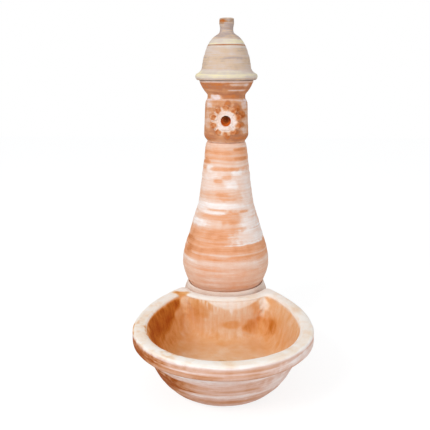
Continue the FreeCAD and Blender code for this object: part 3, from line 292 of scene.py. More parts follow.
def smear_over(tone, points, smears, centre=(0.0, 0.0)):
    """Blend each smear's tone in, with ends that fray along the turning."""
    angle = turn_angle(points, centre)
    height = points[:, 2] + SMEAR_WANDER * rough(points, scale=(14, 14, 60), seed=9.0)
    fray = rough(points, scale=(14, 14, 420), seed=5.0) + rough(points, scale=75, seed=4.0)
    for smear in smears:
        away = (angle - smear.angle + 180) % 360 - 180
        across = np.abs(away) / smear.spread
        up = np.abs(height - smear.height) / smear.depth
        reach = (across ** SMEAR_SQUARENESS + up ** SMEAR_SQUARENESS) ** (1 / SMEAR_SQUARENESS)
        tone = blend(tone, smear.tone, soft_step(SMEAR_OUTER, SMEAR_INNER, reach + SMEAR_FRAY * fray))
    return tone


def patch_over(tone, points, patches, ragged=0.35):
    """Blend each patch's tone in, inside a rounded reach with an uneven edge."""
    fray = ragged * rough(points, scale=45, seed=2.0)
    for patch in patches:
        away = (points - np.array(patch.centre)) / np.array(patch.reach)
        distance = np.sqrt((away ** 2).sum(1)) + fray
        tone = blend(tone, patch.tone, soft_step(PATCH_OUTER, PATCH_INNER, distance))
    return tone


# Shader graphs
NOISE_LOW = 0.3
NOISE_HIGH = 0.7
BROAD_STREAKS = (7, 7, 90)
FINE_STREAKS = (16, 16, 420)
DRIPS = (75, 75, 7)
DRIP_ROUGHNESS = 0.65
DRIP_TONE = 0.09
CLOUD_SCALE = 26
SPECK_SCALE = 900
SPECK_TONE = 0.03
SPECK_BUMP = 0.0004
STREAK_BUMP = 0.0009
CLAY_SMOOTHEST = 0.78
CLAY_ROUGHEST = 0.95
CLAY_GLOSS = 0.25
WEAR_SCALE = 60
BRUSHED_STRETCH = (1, 1, 14)
WORN_DARK = 0.72
WORN_LIGHT = 1.12
WORN_LIFT = 6
SURFACE_TONE = 0.12
SHINE_LOW = -0.08
SHINE_HIGH = 0.1


class Graph:
    """A node material, built one node at a time."""

    def __init__(self, name):
        self.material = bpy.data.materials.new(name)
        self.material.use_nodes = True
        self.tree = self.material.node_tree
        self.shader = self.tree.nodes["Principled BSDF"]

    def add(self, kind, inputs=None, **settings):
        made = self.tree.nodes.new(f"ShaderNode{kind}")
        for name, value in settings.items():
            setattr(made, name, value)
        for socket, value in (inputs or {}).items():
            self.feed(made.inputs[socket], value)
        return made

    def feed(self, socket, value):
        if isinstance(value, bpy.types.NodeSocket):
            self.tree.links.new(value, socket)
        else:
            socket.default_value = value

    def maths(self, operation, *values):
        return self.add("Math", dict(enumerate(values)), operation=operation).outputs[0]

    def painted(self, name):
        return self.add("Attribute", attribute_name=name).outputs["Fac"]

    def noise(self, scale=1, detail=4.0, roughness=0.6, stretch=(1, 1, 1)):
        """Noise over the object's own coordinates, with scale times stretch waves in a metre."""
        place = self.add("TexCoord").outputs["Object"]
        spread = self.add("Mapping", {"Vector": place, "Scale": [scale * share for share in stretch]})
        return self.add(
            "TexNoise",
            {"Vector": spread.outputs[0], "Scale": 1.0, "Detail": detail, "Roughness": roughness},
        ).outputs["Fac"]

    def ramp(self, factor, stops):
        made = self.add("ValToRGB", {"Fac": factor})
        elements = made.color_ramp.elements
        while len(elements) < len(stops):
            elements.new(0.5)
        for element, (position, colour) in zip(elements, stops):
            element.position = position
            element.color = linear(colour)
        return made.outputs["Color"]

    def spread(self, value, low, high):
        """A noise value between its usual limits, mapped to low and high."""
        return self.add("MapRange", {0: value, 1: NOISE_LOW, 2: NOISE_HIGH, 3: low, 4: high}).outputs[0]

    def bump(self, height, depth, below=None):
        inputs = {"Height": height, "Distance": depth, "Strength": 1.0}
        if below is not None:
            inputs["Normal"] = below
        return self.add("Bump", inputs).outputs["Normal"]


def terracotta(name, tones, streak, mottle, hollow_tones=None):
    """Unglazed clay: painted tone, streaks along the turning, drips where painted, and a dry grain.

    Where the piece is painted "hollow", the tones are those of its inside.
    """
    graph = Graph(name)
    broad = graph.noise(stretch=BROAD_STREAKS)
    fine = graph.noise(detail=2.0, stretch=FINE_STREAKS)
    runs = graph.noise(roughness=DRIP_ROUGHNESS, stretch=DRIPS)
    cloud = graph.noise(CLOUD_SCALE)
    speck = graph.noise(SPECK_SCALE, detail=2.0)
    wide_streaks = graph.spread(broad, -streak, streak)
    turned = graph.maths("ADD", wide_streaks, graph.spread(fine, -streak / 2, streak / 2))
    ran = graph.spread(runs, -DRIP_TONE, DRIP_TONE)
    lines = graph.add("Mix", {0: graph.painted("drip"), 2: turned, 3: ran}).outputs[0]
    level = graph.maths("MULTIPLY_ADD", lines, graph.painted("lined"), graph.painted("slip"))
    level = graph.maths("ADD", level, graph.spread(cloud, -mottle, mottle))
    level = graph.maths("ADD", level, graph.spread(speck, -SPECK_TONE, SPECK_TONE))
    colour = graph.ramp(level, tones)
    if hollow_tones:
        inner = graph.ramp(level, hollow_tones)
        both = graph.add("Mix", {0: graph.painted("hollow"), 6: colour, 7: inner}, data_type="RGBA")
        colour = both.outputs[2]
    graph.feed(graph.shader.inputs["Base Color"], colour)
    graph.feed(graph.shader.inputs["Roughness"], graph.spread(cloud, CLAY_SMOOTHEST, CLAY_ROUGHEST))
    graph.shader.inputs["Specular IOR Level"].default_value = CLAY_GLOSS
    grain = graph.bump(speck, SPECK_BUMP)
    graph.feed(graph.shader.inputs["Normal"], graph.bump(fine, STREAK_BUMP, grain))
    return graph.material


def fitting(name, look):
    """A plumbing or pump material with slight wear in its colour, roughness and surface."""
    graph = Graph(name)
    worn = graph.noise(WEAR_SCALE)
    stretch = BRUSHED_STRETCH if look.brushed else (1, 1, 1)
    surface = graph.noise(look.grain, detail=3.0, stretch=stretch)
    dark = [WORN_DARK * value for value in look.colour]
    light = [min(255, WORN_LIGHT * value + WORN_LIFT) for value in look.colour]
    shade = graph.maths("ADD", worn, graph.spread(surface, -SURFACE_TONE, SURFACE_TONE))
    colour = graph.ramp(shade, ((NOISE_LOW, dark), (NOISE_HIGH, light)))
    roughness = graph.spread(surface, look.roughness + SHINE_LOW, look.roughness + SHINE_HIGH)
    graph.feed(graph.shader.inputs["Base Color"], colour)
    graph.feed(graph.shader.inputs["Roughness"], roughness)
    graph.shader.inputs["Metallic"].default_value = look.metal
    graph.feed(graph.shader.inputs["Normal"], graph.bump(surface, look.depth))
    return graph.material


def stand_for(piece, node, material):
    piece.data.materials.append(material)
    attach(piece, piece_body(node))
    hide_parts(node)


def piece_body(node):
    bodies = frame["record"]["behaviour"]["bodies"]
    return [body for body, members in bodies.items() if node in members][0]


# Column: pale neck, bands of white slip smeared over orange, ridges on the bulb
COLUMN_WORK = Working(
    ring_pitch=0.016, ring_depth=0.0007, ring_seed=1.3,
    lump_scale=14, lump_depth=0.0006, lump_seed=1.0, sink=0.0004,
)
COLUMN_BANDS = (
    (0.184, 0.48), (0.206, 0.56), (0.214, 0.50), (0.224, 0.62), (0.232, 0.54), (0.245, 0.64),
    (0.256, 0.56), (0.268, 0.64), (0.278, 0.54), (0.286, 0.60), (0.296, 0.78), (0.303, 0.60),
    (0.311, 0.44), (0.319, 0.42), (0.324, 0.68), (0.328, 0.46), (0.345, 0.42), (0.357, 0.44),
    (0.365, 0.54), (0.374, 0.44), (0.400, 0.42), (0.408, 0.64), (0.426, 0.62), (0.440, 0.62),
    (0.455, 0.72), (0.472, 0.90), (0.482, 0.78), (0.492, 0.66), (0.505, 0.54), (0.516, 0.58),
    (0.530, 0.72), (0.556, 0.70), (0.580, 0.68), (0.588, 0.50), (0.596, 0.48), (0.603, 0.74),
    (0.608, 0.56), (0.613, 0.70), (0.620, 0.46), (0.632, 0.52), (0.641, 0.38), (0.646, 0.44),
    (0.650, 0.60), (0.660, 0.66), (0.671, 0.60),
)
COLUMN_SMEARS = (
    Smear(55, 0.380, 42, 0.028, 0.88),
    Smear(52, 0.420, 26, 0.016, 0.92),
    Smear(58, 0.470, 24, 0.040, 0.80),
    Smear(60, 0.540, 30, 0.050, 0.80),
    Smear(-45, 0.440, 20, 0.010, 0.56),
    Smear(-20, 0.440, 24, 0.010, 0.42),
    Smear(8, 0.440, 22, 0.020, 0.42),
    Smear(38, 0.456, 13, 0.004, 0.48),
    Smear(-55, 0.418, 24, 0.011, 0.92),
    Smear(-25, 0.454, 30, 0.005, 0.94),
    Smear(-18, 0.462, 18, 0.003, 0.56),
    Smear(0, 0.476, 50, 0.007, 0.97),
    Smear(40, 0.356, 36, 0.003, 0.98),
    Smear(44, 0.348, 24, 0.006, 0.38),
    Smear(-68, 0.345, 16, 0.040, 0.34),
    Smear(5, 0.500, 22, 0.010, 0.46),
    Smear(-8, 0.512, 14, 0.006, 0.46),
    Smear(-18, 0.553, 13, 0.007, 0.42),
    Smear(4, 0.564, 12, 0.008, 0.50),
    Smear(14, 0.542, 16, 0.012, 0.92),
    Smear(-40, 0.570, 20, 0.012, 0.86),
    Smear(-45, 0.590, 12, 0.014, 0.84),
    Smear(28, 0.578, 14, 0.008, 0.95),
    Smear(-8, 0.591, 30, 0.006, 0.36),
    Smear(46, 0.622, 26, 0.005, 0.32),
    Smear(45, 0.650, 24, 0.006, 0.34),
    Smear(-62, 0.612, 20, 0.010, 0.36),
)
COLUMN_WANDER = 0.0035
COLUMN_HIDDEN_TONE = 0.5
BACK_SMEARS = 26
BACK_ANGLES = (95, 265)
BACK_SPREADS = (15, 45)
BACK_DEPTHS = (0.003, 0.016)
BACK_TONES = [0.36, 0.44, 0.74, 0.92]


def back_smears(low, high, seed):
    """Seeded smears round the back, where the photograph doesn't show the piece."""
    chance = np.random.default_rng(seed)
    smears = []
    for _ in range(BACK_SMEARS):
        smears.append(
            Smear(
                angle=chance.uniform(*BACK_ANGLES),
                height=chance.uniform(low, high),
                spread=chance.uniform(*BACK_SPREADS),
                depth=chance.uniform(*BACK_DEPTHS),
                tone=chance.choice(BACK_TONES),
            )
        )
    return tuple(smears)


def dress_column():
    piece = clay_copy("column", grain=0.0030, softened=3)
    points = points_of(piece)
    outside = outer_share(points, normals_of(piece))
    push_out(piece, worked(points, COLUMN_WORK, outside))
    wander = COLUMN_WANDER * rough(points, scale=10, seed=4.0)
    tone = band_tones(points[:, 2] + wander, COLUMN_BANDS)
    tone = smear_over(tone, points, COLUMN_SMEARS + back_smears(low=0.33, high=0.64, seed=11))
    paint_clay(piece, shown_tone(outside, tone, COLUMN_HIDDEN_TONE))
    clay = terracotta("column_terracotta", COLUMN_TONES, streak=0.10, mottle=0.07)
    stand_for(piece, "column", clay)


# Spout head: brown flare with pale streaks, smeared neck, orange drum
HEAD_WORK = Working(
    ring_pitch=0.012, ring_depth=0.0004, ring_seed=2.1,
    lump_scale=22, lump_depth=0.0007, lump_seed=3.0, sink=0.0004,
)
HEAD_BANDS = (
    (0.653, 0.40), (0.671, 0.60), (0.676, 0.38), (0.690, 0.24), (0.700, 0.36), (0.740, 0.42),
    (0.780, 0.42), (0.798, 0.48), (0.803, 0.74), (0.808, 0.34), (0.822, 0.31), (0.845, 0.23),
    (0.852, 0.26), (0.8545, 0.12), (0.8565, 0.72), (0.863, 0.78),
)
HEAD_SMEARS = (
    Smear(-32, 0.812, 20, 0.008, 0.90),
    Smear(14, 0.814, 26, 0.006, 0.22),
    Smear(35, 0.850, 34, 0.004, 0.66),
    Smear(30, 0.833, 24, 0.003, 0.64),
    Smear(-30, 0.845, 26, 0.010, 0.16),
    Smear(-54, 0.788, 15, 0.010, 0.70),
    Smear(58, 0.786, 14, 0.014, 0.70),
    Smear(58, 0.745, 16, 0.030, 0.60),
    Smear(-56, 0.745, 14, 0.030, 0.54),
    Smear(-50, 0.690, 26, 0.008, 0.20),
    Smear(56, 0.688, 18, 0.008, 0.22),
    Smear(52, 0.715, 16, 0.014, 0.66),
)
HEAD_WANDER = 0.002
ROSETTE_HALO = Patch((0.006, -0.07, 0.738), (0.060, 0.08, 0.060), 0.30)
PETALS = 10
TIP_RADIUS = 0.047
TIP_MIDDLE = (0.004, -0.055, 0.743)
TIP_REACH = (0.012, 0.060, 0.012)
TIP_HEIGHT = 0.0014
TIP_TONE = 0.12
TIP_PALER = 0.24
TIP_RAGGED = 0.5


def petal_tips():
    """Burnt clay that runs out past each petal onto the drum, fainter at the left."""
    tips = []
    for petal in range(PETALS):
        turn = radians(360 / PETALS * petal)
        centre = Vector(TIP_MIDDLE) + TIP_RADIUS * Vector((sin(turn), 0, cos(turn)))
        tips.append(Patch(centre, TIP_REACH, TIP_TONE + TIP_PALER * max(0.0, -sin(turn))))
    return tips


def dress_head():
    piece = clay_copy("spout_head", grain=0.0022, softened=3)
    points = points_of(piece)
    outside = outer_share(points, normals_of(piece))
    tips = petal_tips()
    whole_tips = [tip._replace(tone=1.0) for tip in tips]
    raised = patch_over(np.zeros(len(points)), points, whole_tips, TIP_RAGGED)
    push_out(piece, worked(points, HEAD_WORK, outside) + TIP_HEIGHT * raised * outside)
    tone = band_tones(points[:, 2] + HEAD_WANDER * rough(points, scale=18, seed=6.0), HEAD_BANDS)
    tone = smear_over(tone, points, HEAD_SMEARS + back_smears(low=0.68, high=0.86, seed=5))
    tone = patch_over(tone, points, [ROSETTE_HALO] + tips, TIP_RAGGED)
    paint_clay(piece, shown_tone(outside, tone))
    clay = terracotta("head_terracotta", HEAD_TONES, streak=0.10, mottle=0.14)
    stand_for(piece, "spout_head", clay)


# Rosette: ragged pale ring round the hole, orange scoops, and pale spokes, mostly at the left
ROSETTE_CENTRE_HEIGHT = 0.740
ROSETTE_LUMPS = 0.0009
ROSETTE_RAGGED = 0.0005
ROSETTE_SINK = 0.0003
RING_OUTER = 0.038
RING_INNER = 0.030
RING_UNEVEN = 0.006
RING_TONE = 0.86
RING_MOTTLE = 0.14
LEFT_PALER = 9.0
LEFT_LIMITS = (-0.25, 0.25)
SPOKE_OUTER = 0.0050
SPOKE_INNER = 0.0015
SPOKE_UNEVEN = 0.0015
SPOKE_TONE = 0.80
SCOOP_MIDDLE = 0.040
SCOOP_LENGTH = 0.0102
SCOOP_WIDTH = 0.0080
SCOOP_LIMITS = (1.5, 0.7)
SCOOP_UNEVEN = 0.4
SCOOP_TONE = 0.20
SCOOP_MOTTLE = 0.26
PETAL_TONE = 0.34
PETAL_MOTTLE = 0.18
PETAL_PALER = 0.22


def dress_rosette():
    piece = clay_copy("rosette", grain=0.0012, softened=8)
    points = points_of(piece)
    uneven = rough(points, scale=55, seed=1.0)
    ragged = rough(points, scale=130, seed=8.0)
    push_out(piece, ROSETTE_LUMPS * uneven + ROSETTE_RAGGED * ragged - ROSETTE_SINK)
    paint_clay(piece, rosette_tone(points, uneven, ragged))
    clay = terracotta("rosette_terracotta", ROSETTE_TONES, streak=0.03, mottle=0.12)
    stand_for(piece, "rosette", clay)


def rosette_tone(points, uneven, ragged):
    """Petals first, then their scoops, the spokes between them and the ring round the hole."""
    across = points[:, 0]
    up = points[:, 2] - ROSETTE_CENTRE_HEIGHT
    from_middle = np.hypot(across, up)
    step = 360 / PETALS
    turned = np.radians((np.degrees(np.arctan2(across, up)) + step / 2) % step - step / 2)
    along_petal = (from_middle * np.cos(turned) - SCOOP_MIDDLE) / SCOOP_LENGTH
    across_petal = from_middle * np.sin(turned) / SCOOP_WIDTH
    from_scoop = np.hypot(along_petal, across_petal) + SCOOP_UNEVEN * uneven + SCOOP_UNEVEN * ragged
    scoop = soft_step(*SCOOP_LIMITS, from_scoop)
    ring = soft_step(RING_OUTER, RING_INNER, from_middle + RING_UNEVEN * uneven)
    to_spoke = from_middle * np.sin(np.radians(step / 2) - np.abs(turned))
    kept = soft_step(*LEFT_LIMITS, rough(points, scale=38, seed=12.0) - LEFT_PALER * across)
    spoke = kept * soft_step(SPOKE_OUTER, SPOKE_INNER, to_spoke + SPOKE_UNEVEN * ragged)
    tone = PETAL_TONE + PETAL_MOTTLE * uneven + PETAL_PALER * kept
    tone = blend(tone, SCOOP_TONE + SCOOP_MOTTLE * ragged, scoop)
    tone = blend(tone, SPOKE_TONE, spoke)
    return blend(tone, RING_TONE + RING_MOTTLE * ragged, ring)


# Cap: pale buff, finely lined, with a burnt groove and a cream brim
CAP_WORK = Working(
    ring_pitch=0.007, ring_depth=0.0004, ring_seed=4.4,
    lump_scale=18, lump_depth=0.0005, lump_seed=7.0, sink=0.0003,
)
CAP_BANDS = (
    (0.849, 0.40), (0.863, 0.46), (0.868, 0.56), (0.872, 0.90), (0.878, 0.98), (0.884, 0.90),
    (0.890, 0.78), (0.898, 0.48), (0.915, 0.46), (0.928, 0.50), (0.940, 0.58), (0.955, 0.64),
    (0.9660, 0.68), (0.9672, 0.05), (0.9702, 0.05), (0.9712, 0.95), (0.976, 0.86), (0.984, 0.74),
    (0.988, 0.46), (0.999, 0.42), (1.004, 0.40), (1.010, 0.38), (1.030, 0.35), (1.038, 0.38),
    (1.044, 0.46), (1.050, 0.60),
)
CAP_SMEARS = (
    Smear(-50, 1.039, 42, 0.008, 0.12),
    Smear(60, 1.040, 30, 0.007, 0.28),
    Smear(28, 0.908, 22, 0.010, 0.40),
)
KNOB_FOOT_LOW = 0.984
KNOB_FOOT_HIGH = 1.026
KNOB_FOOT_FADE = 0.010
KNOB_FOOT_ROUNDS = 160


def round_knob_foot(piece):
    """Let the dome run up into the knob in one hollow curve."""
    heights = points_of(piece)[:, 2]
    above = soft_step(KNOB_FOOT_LOW, KNOB_FOOT_LOW + KNOB_FOOT_FADE, heights)
    below = soft_step(KNOB_FOOT_HIGH, KNOB_FOOT_HIGH - KNOB_FOOT_FADE, heights)
    soften_where(piece, above * below, KNOB_FOOT_ROUNDS)


def dress_cap():
    piece = clay_copy("cap", grain=0.0014, softened=3)
    round_knob_foot(piece)
    points = points_of(piece)
    outside = outer_share(points, normals_of(piece))
    push_out(piece, worked(points, CAP_WORK, outside))
    tone = smear_over(band_tones(points[:, 2], CAP_BANDS), points, CAP_SMEARS)
    paint_clay(piece, shown_tone(outside, tone))
    clay = terracotta("cap_terracotta", CAP_TONES, streak=0.17, mottle=0.11)
    stand_for(piece, "cap", clay)


# Pedestal: pale tan pot, with painted shade towards the ground and a painted highlight on its lip
PEDESTAL_WORK = Working(
    ring_pitch=0.014, ring_depth=0.0005, ring_seed=6.2,
    lump_scale=15, lump_depth=0.0004, lump_seed=2.0, sink=0.0004,
)
PEDESTAL_TONE = 0.73
PEDESTAL_CLOUDS = 0.10
PEDESTAL_PAINTED_LIGHT_AND_SHADE = 0.14
# Heights of the painted shade near the ground and of the painted highlight on the lip
PAINTED_SHADE_TOP = 0.11
PAINTED_SHADE_FOOT = 0.01
PAINTED_LIGHT_LOW = 0.185
PAINTED_LIGHT_HIGH = 0.200


def dress_pedestal():
    piece = clay_copy("pedestal", grain=0.0022, softened=10)
    points = points_of(piece)
    outside = outer_share(points, normals_of(piece))
    push_out(piece, worked(points, PEDESTAL_WORK, outside))
    # Painted shade near the ground and a painted highlight along the lip
    painted_light_and_shade = soft_step(PAINTED_LIGHT_LOW, PAINTED_LIGHT_HIGH, points[:, 2]) - soft_step(PAINTED_SHADE_TOP, PAINTED_SHADE_FOOT, points[:, 2])
    clouds = PEDESTAL_CLOUDS * rough(points, scale=(9, 9, 40), seed=3.0)
    tone = PEDESTAL_TONE + clouds + PEDESTAL_PAINTED_LIGHT_AND_SHADE * painted_light_and_shade
    paint_clay(piece, shown_tone(outside, tone))
    clay = terracotta("pedestal_terracotta", PEDESTAL_TONES, streak=0.10, mottle=0.08)
    stand_for(piece, "pedestal", clay)


# Basin: white rim, streaked roll and bowl, orange inside with smeared corners and drips
BASIN_WORK = Working(
    ring_pitch=0.013, ring_depth=0.0006, ring_seed=7.7,
    lump_scale=30, lump_depth=0.0006, lump_seed=5.0, sink=0.0006,
)
BASIN_MIDDLE = (0.0, -0.34)
RIM_TOP = 0.195
RIM_CROWN = 0.0038
RIM_TONE = 0.95
RIM_MOTTLE = 0.07
RIM_INNER_SLOPES = (0.40, 0.70)
RIM_OUTER_SLOPES = (0.05, 0.80)
RIM_HEIGHTS = (RIM_TOP - 0.024, RIM_TOP - 0.008)
ROLL_BOTTOM = 0.154
ROLL_HEIGHTS = (ROLL_BOTTOM - 0.010, ROLL_BOTTOM + 0.005)
ROLL_SOFT_HEIGHTS = (ROLL_BOTTOM + 0.004, ROLL_BOTTOM + 0.016)
ROLL_LUMPS = 0.0016
ROLL_DARKER = 0.13
ROLL_ROUNDS = 26
BOWL_TONE = 0.56
INSIDE_TONE = 0.52
STEEP_SLOPES = (0.9, 0.6)
LEVEL_FROM = 0.7
FLOOR_TOP = 0.058
FLOOR_MARGIN = 0.004
FLOOR_ROUND_HEIGHTS = (0.120, 0.090)
FLOOR_ROUNDS = 120
DRAIN_MIDDLE = (0.0, -0.363)
DRAIN_REACH = 0.060
DRAIN_FADE = 0.020
BASIN_INSIDE = (
    Patch((0.030, -0.170, 0.130), (0.120, 0.060, 0.070), 0.66),
    Patch((0.030, -0.180, 0.165), (0.080, 0.030, 0.030), 0.70),
    Patch((0.024, -0.177, 0.111), (0.034, 0.030, 0.014), 0.46),
    Patch((-0.170, -0.270, 0.100), (0.080, 0.140, 0.050), 0.36),
    # The next two patches darken the inner left wall, which faces away from the key lamp: partly burnt
    # orange clay, partly painted shade
    Patch((-0.195, -0.280, 0.160), (0.075, 0.130, 0.056), 0.09),
    Patch((-0.155, -0.190, 0.176), (0.040, 0.060, 0.036), 0.10),
    Patch((-0.085, -0.172, 0.165), (0.042, 0.030, 0.050), 0.40),
    Patch((0.115, -0.165, 0.100), (0.060, 0.050, 0.026), 0.38),
    Patch((0.142, -0.195, 0.118), (0.024, 0.038, 0.034), 0.24),
    Patch((0.195, -0.300, 0.160), (0.050, 0.130, 0.050), 0.56),
    Patch((0.020, -0.300, 0.058), (0.150, 0.090, 0.018), 0.62),
    Patch((0.000, -0.460, 0.062), (0.130, 0.090, 0.030), 0.62),
    Patch((-0.128, -0.140, 0.175), (0.016, 0.024, 0.024), 0.72),
    Patch((0.124, -0.144, 0.162), (0.018, 0.028, 0.034), 0.92),
)
BARE_RIM = Patch((-0.142, -0.126, 0.190), (0.028, 0.015, 0.022), 0.36)
BURNT_RIM = Smear(-62, 0.165, 52, 0.024, 0.20)
BASIN_OUTSIDE = (
    Smear(-92, 0.168, 44, 0.020, 0.28),
    Smear(-58, 0.168, 34, 0.018, 0.03),
    Smear(-22, 0.164, 24, 0.010, 0.28),
    Smear(15, 0.175, 50, 0.003, 0.72),
    Smear(58, 0.172, 30, 0.012, 0.78),
    Smear(-26, 0.098, 18, 0.022, 0.32),
    Smear(-92, 0.085, 44, 0.062, 0.30),
    Smear(-58, 0.072, 33, 0.056, 0.00),
    Smear(-33, 0.130, 22, 0.011, 0.97),
    Smear(-12, 0.122, 30, 0.006, 0.70),
    Smear(14, 0.133, 44, 0.007, 0.80),
    Smear(30, 0.116, 20, 0.008, 0.42),
    Smear(4, 0.096, 26, 0.006, 0.40),
    Smear(54, 0.095, 26, 0.030, 0.74),
    Smear(68, 0.125, 22, 0.020, 0.70),
    Smear(5, 0.074, 36, 0.007, 0.76),
    Smear(-8, 0.045, 46, 0.014, 0.34),
)
# Painted shadow: a dark line along the roll's lower edge, at the front and right
ROLL_SHADOW_LINE_HEIGHT = 0.1555
ROLL_SHADOW_LINE_HALF = 0.0035
ROLL_SHADOW_LINE_DARKER = 0.50
ROLL_SHADOW_LINE_ANGLES = (-35, 5)
CRESCENT_MIDDLE = 0.028
CRESCENT_LOW = 0.1655
CRESCENT_RISE = 3.4
CRESCENT_UNEVEN = 0.004
CRESCENT_TONE = 0.95
CRESCENT_EDGE = (-0.006, 0.005)
RUN_LENGTH = 0.036
RUN_SHARE = 0.8
RUN_STRANDS = (-0.10, 0.25)
RUN_RIGHT = (0.050, 0.020)
BACK_WALL_DEPTHS = (-0.215, -0.200)
BACK_WALL_HALVES = (0.125, 0.100)
CORNER_LUMPS = ((-0.118, -0.150, 0.150), (0.122, -0.148, 0.150))
LUMP_REACH = (0.030, 0.036, 0.045)
LUMP_HEIGHT = 0.0035
LUMP_LIMITS = (1.0, 0.3)
LUMP_FULLNESS = 0.5


def inside_basin(points, normals):
    """True on the basin's floor, its inner walls and the inner half of its rim."""
    from_middle = points[:, :2] - np.array(BASIN_MIDDLE)
    outward = from_middle / np.maximum(np.hypot(*from_middle.T), 1e-6)[:, None]
    looks_in = (outward * normals[:, :2]).sum(1) < 0.0
    return (points[:, 2] > FLOOR_TOP - FLOOR_MARGIN) & (looks_in | (normals[:, 2] > LEVEL_FROM))


def rim_share(points, normals, inside):
    """1 on the top of the rim, with a crisp edge towards the inside and a soft one towards the roll."""
    inner = soft_step(*RIM_INNER_SLOPES, normals[:, 2])
    outer = soft_step(*RIM_OUTER_SLOPES, normals[:, 2])
    return np.where(inside, inner, outer) * soft_step(*RIM_HEIGHTS, points[:, 2])


def round_basin_edges(piece):
    """Round the rim into a roll, and the floor into the walls, as thrown clay is."""
    points = points_of(piece)
    inside = inside_basin(points, normals_of(piece))
    soften_where(piece, soft_step(*ROLL_SOFT_HEIGHTS, points[:, 2]), ROLL_ROUNDS)
    from_drain = np.hypot(points[:, 0] - DRAIN_MIDDLE[0], points[:, 1] - DRAIN_MIDDLE[1])
    clear_of_drain = soft_step(DRAIN_REACH, DRAIN_REACH + DRAIN_FADE, from_drain)
    low_down = soft_step(*FLOOR_ROUND_HEIGHTS, points[:, 2])
    soften_where(piece, inside * clear_of_drain * low_down, FLOOR_ROUNDS)


def corner_lumps(points):
    """Clay smeared over the seams at the two back corners."""
    raised = np.zeros(len(points))
    for centre in CORNER_LUMPS:
        away = np.sqrt((((points - np.array(centre)) / np.array(LUMP_REACH)) ** 2).sum(1))
        raised += soft_step(*LUMP_LIMITS, away) * (LUMP_FULLNESS + rough(points, scale=70, seed=3.0))
    return raised * LUMP_HEIGHT


def notch_slip(points):
    """1 where white slip lies in a crescent under the notch's rim, and where it has run on down."""
    strands = soft_step(*RUN_STRANDS, rough(points, scale=(130, 130, 9), seed=6.0))
    low_edge = CRESCENT_LOW + CRESCENT_RISE * (points[:, 0] - CRESCENT_MIDDLE) ** 2
    above = points[:, 2] - low_edge + CRESCENT_UNEVEN * rough(points, scale=(50, 50, 12), seed=2.0)
    crescent = soft_step(*CRESCENT_EDGE, above)
    at_left = soft_step(*RUN_RIGHT, points[:, 0])
    run = RUN_SHARE * strands * soft_step(-RUN_LENGTH, 0.000, above) * at_left
    far_back = soft_step(*BACK_WALL_DEPTHS, points[:, 1])
    near_middle = soft_step(*BACK_WALL_HALVES, np.abs(points[:, 0]))
    return np.maximum(crescent, run) * far_back * near_middle


def basin_outside_tone(points, high_up):
    """Smears round the bowl and its roll, and a painted shadow line under the roll at the front and right.
    """
    tone = smear_over(BOWL_TONE - ROLL_DARKER * high_up, points, BASIN_OUTSIDE, BASIN_MIDDLE)
    painted_shadow = soft_step(ROLL_SHADOW_LINE_HALF, 0.0, np.abs(points[:, 2] - ROLL_SHADOW_LINE_HEIGHT))
    painted_shadow = painted_shadow * soft_step(*ROLL_SHADOW_LINE_ANGLES, turn_angle(points, BASIN_MIDDLE))
    return tone - ROLL_SHADOW_LINE_DARKER * painted_shadow


def basin_inside_tone(points):
    tone = patch_over(np.full(len(points), INSIDE_TONE), points, BASIN_INSIDE)
    return blend(tone, CRESCENT_TONE, notch_slip(points))


def dress_basin():
    piece = clay_copy("basin", grain=0.0024, softened=12)
    round_basin_edges(piece)
    points = points_of(piece)
    normals = normals_of(piece)
    inside = inside_basin(points, normals)
    rim = rim_share(points, normals, inside)
    high_up = soft_step(*ROLL_HEIGHTS, points[:, 2])
    lumps = ROLL_LUMPS * rough(points, scale=9, seed=4.0) * high_up + corner_lumps(points)
    push_out(piece, worked(points, BASIN_WORK, ~inside) + lumps + RIM_CROWN * rim)
    tone = np.where(inside, basin_inside_tone(points), basin_outside_tone(points, high_up))
    rim_tone = patch_over(RIM_TONE + RIM_MOTTLE * rough(points, scale=20, seed=8.0), points, [BARE_RIM])
    rim_tone = smear_over(rim_tone, points, [BURNT_RIM], BASIN_MIDDLE)
    steep = soft_step(*STEEP_SLOPES, normals[:, 2])
    drip = np.where(inside, 1 - rim, 0)
    lined = np.where(inside, np.maximum(steep, rim), 1)
    paint_clay(piece, blend(tone, rim_tone, rim), drip, lined)
    paint(piece, "hollow", inside)
    clay = terracotta("basin_terracotta", BASIN_OUTSIDE_TONES, 0.13, 0.08, BASIN_INSIDE_TONES)
    stand_for(piece, "basin", clay)


# Spout pipe: orange clay with painted light, brighter with depth so that its floor shows in the hole
SPOUT_MOUTH_TONE = 0.20
SPOUT_DEEP_PAINTED_LIGHT = 0.70
SPOUT_MOTTLE = 0.08
SPOUT_PAINTED_LIGHT_FROM = 0.004
SPOUT_PAINTED_LIGHT_TO = 0.040


def dress_spout_pipe():
    piece = clay_copy("spout_pipe", grain=0.0012, softened=1)
    points = points_of(piece)
    # Painted light: brighter deeper in the pipe, where the hole lets little light in
    depth = points[:, 1] - points[:, 1].min()
    painted_light_deep_in = soft_step(SPOUT_PAINTED_LIGHT_FROM, SPOUT_PAINTED_LIGHT_TO, depth)
    mottle = SPOUT_MOTTLE * rough(points, scale=60, seed=2.0)
    paint_clay(piece, SPOUT_MOUTH_TONE + SPOUT_DEEP_PAINTED_LIGHT * painted_light_deep_in + mottle)
    clay = terracotta("spout_terracotta_painted_light", SPOUT_TONES, streak=0.05, mottle=0.10)
    stand_for(piece, "spout_pipe", clay)


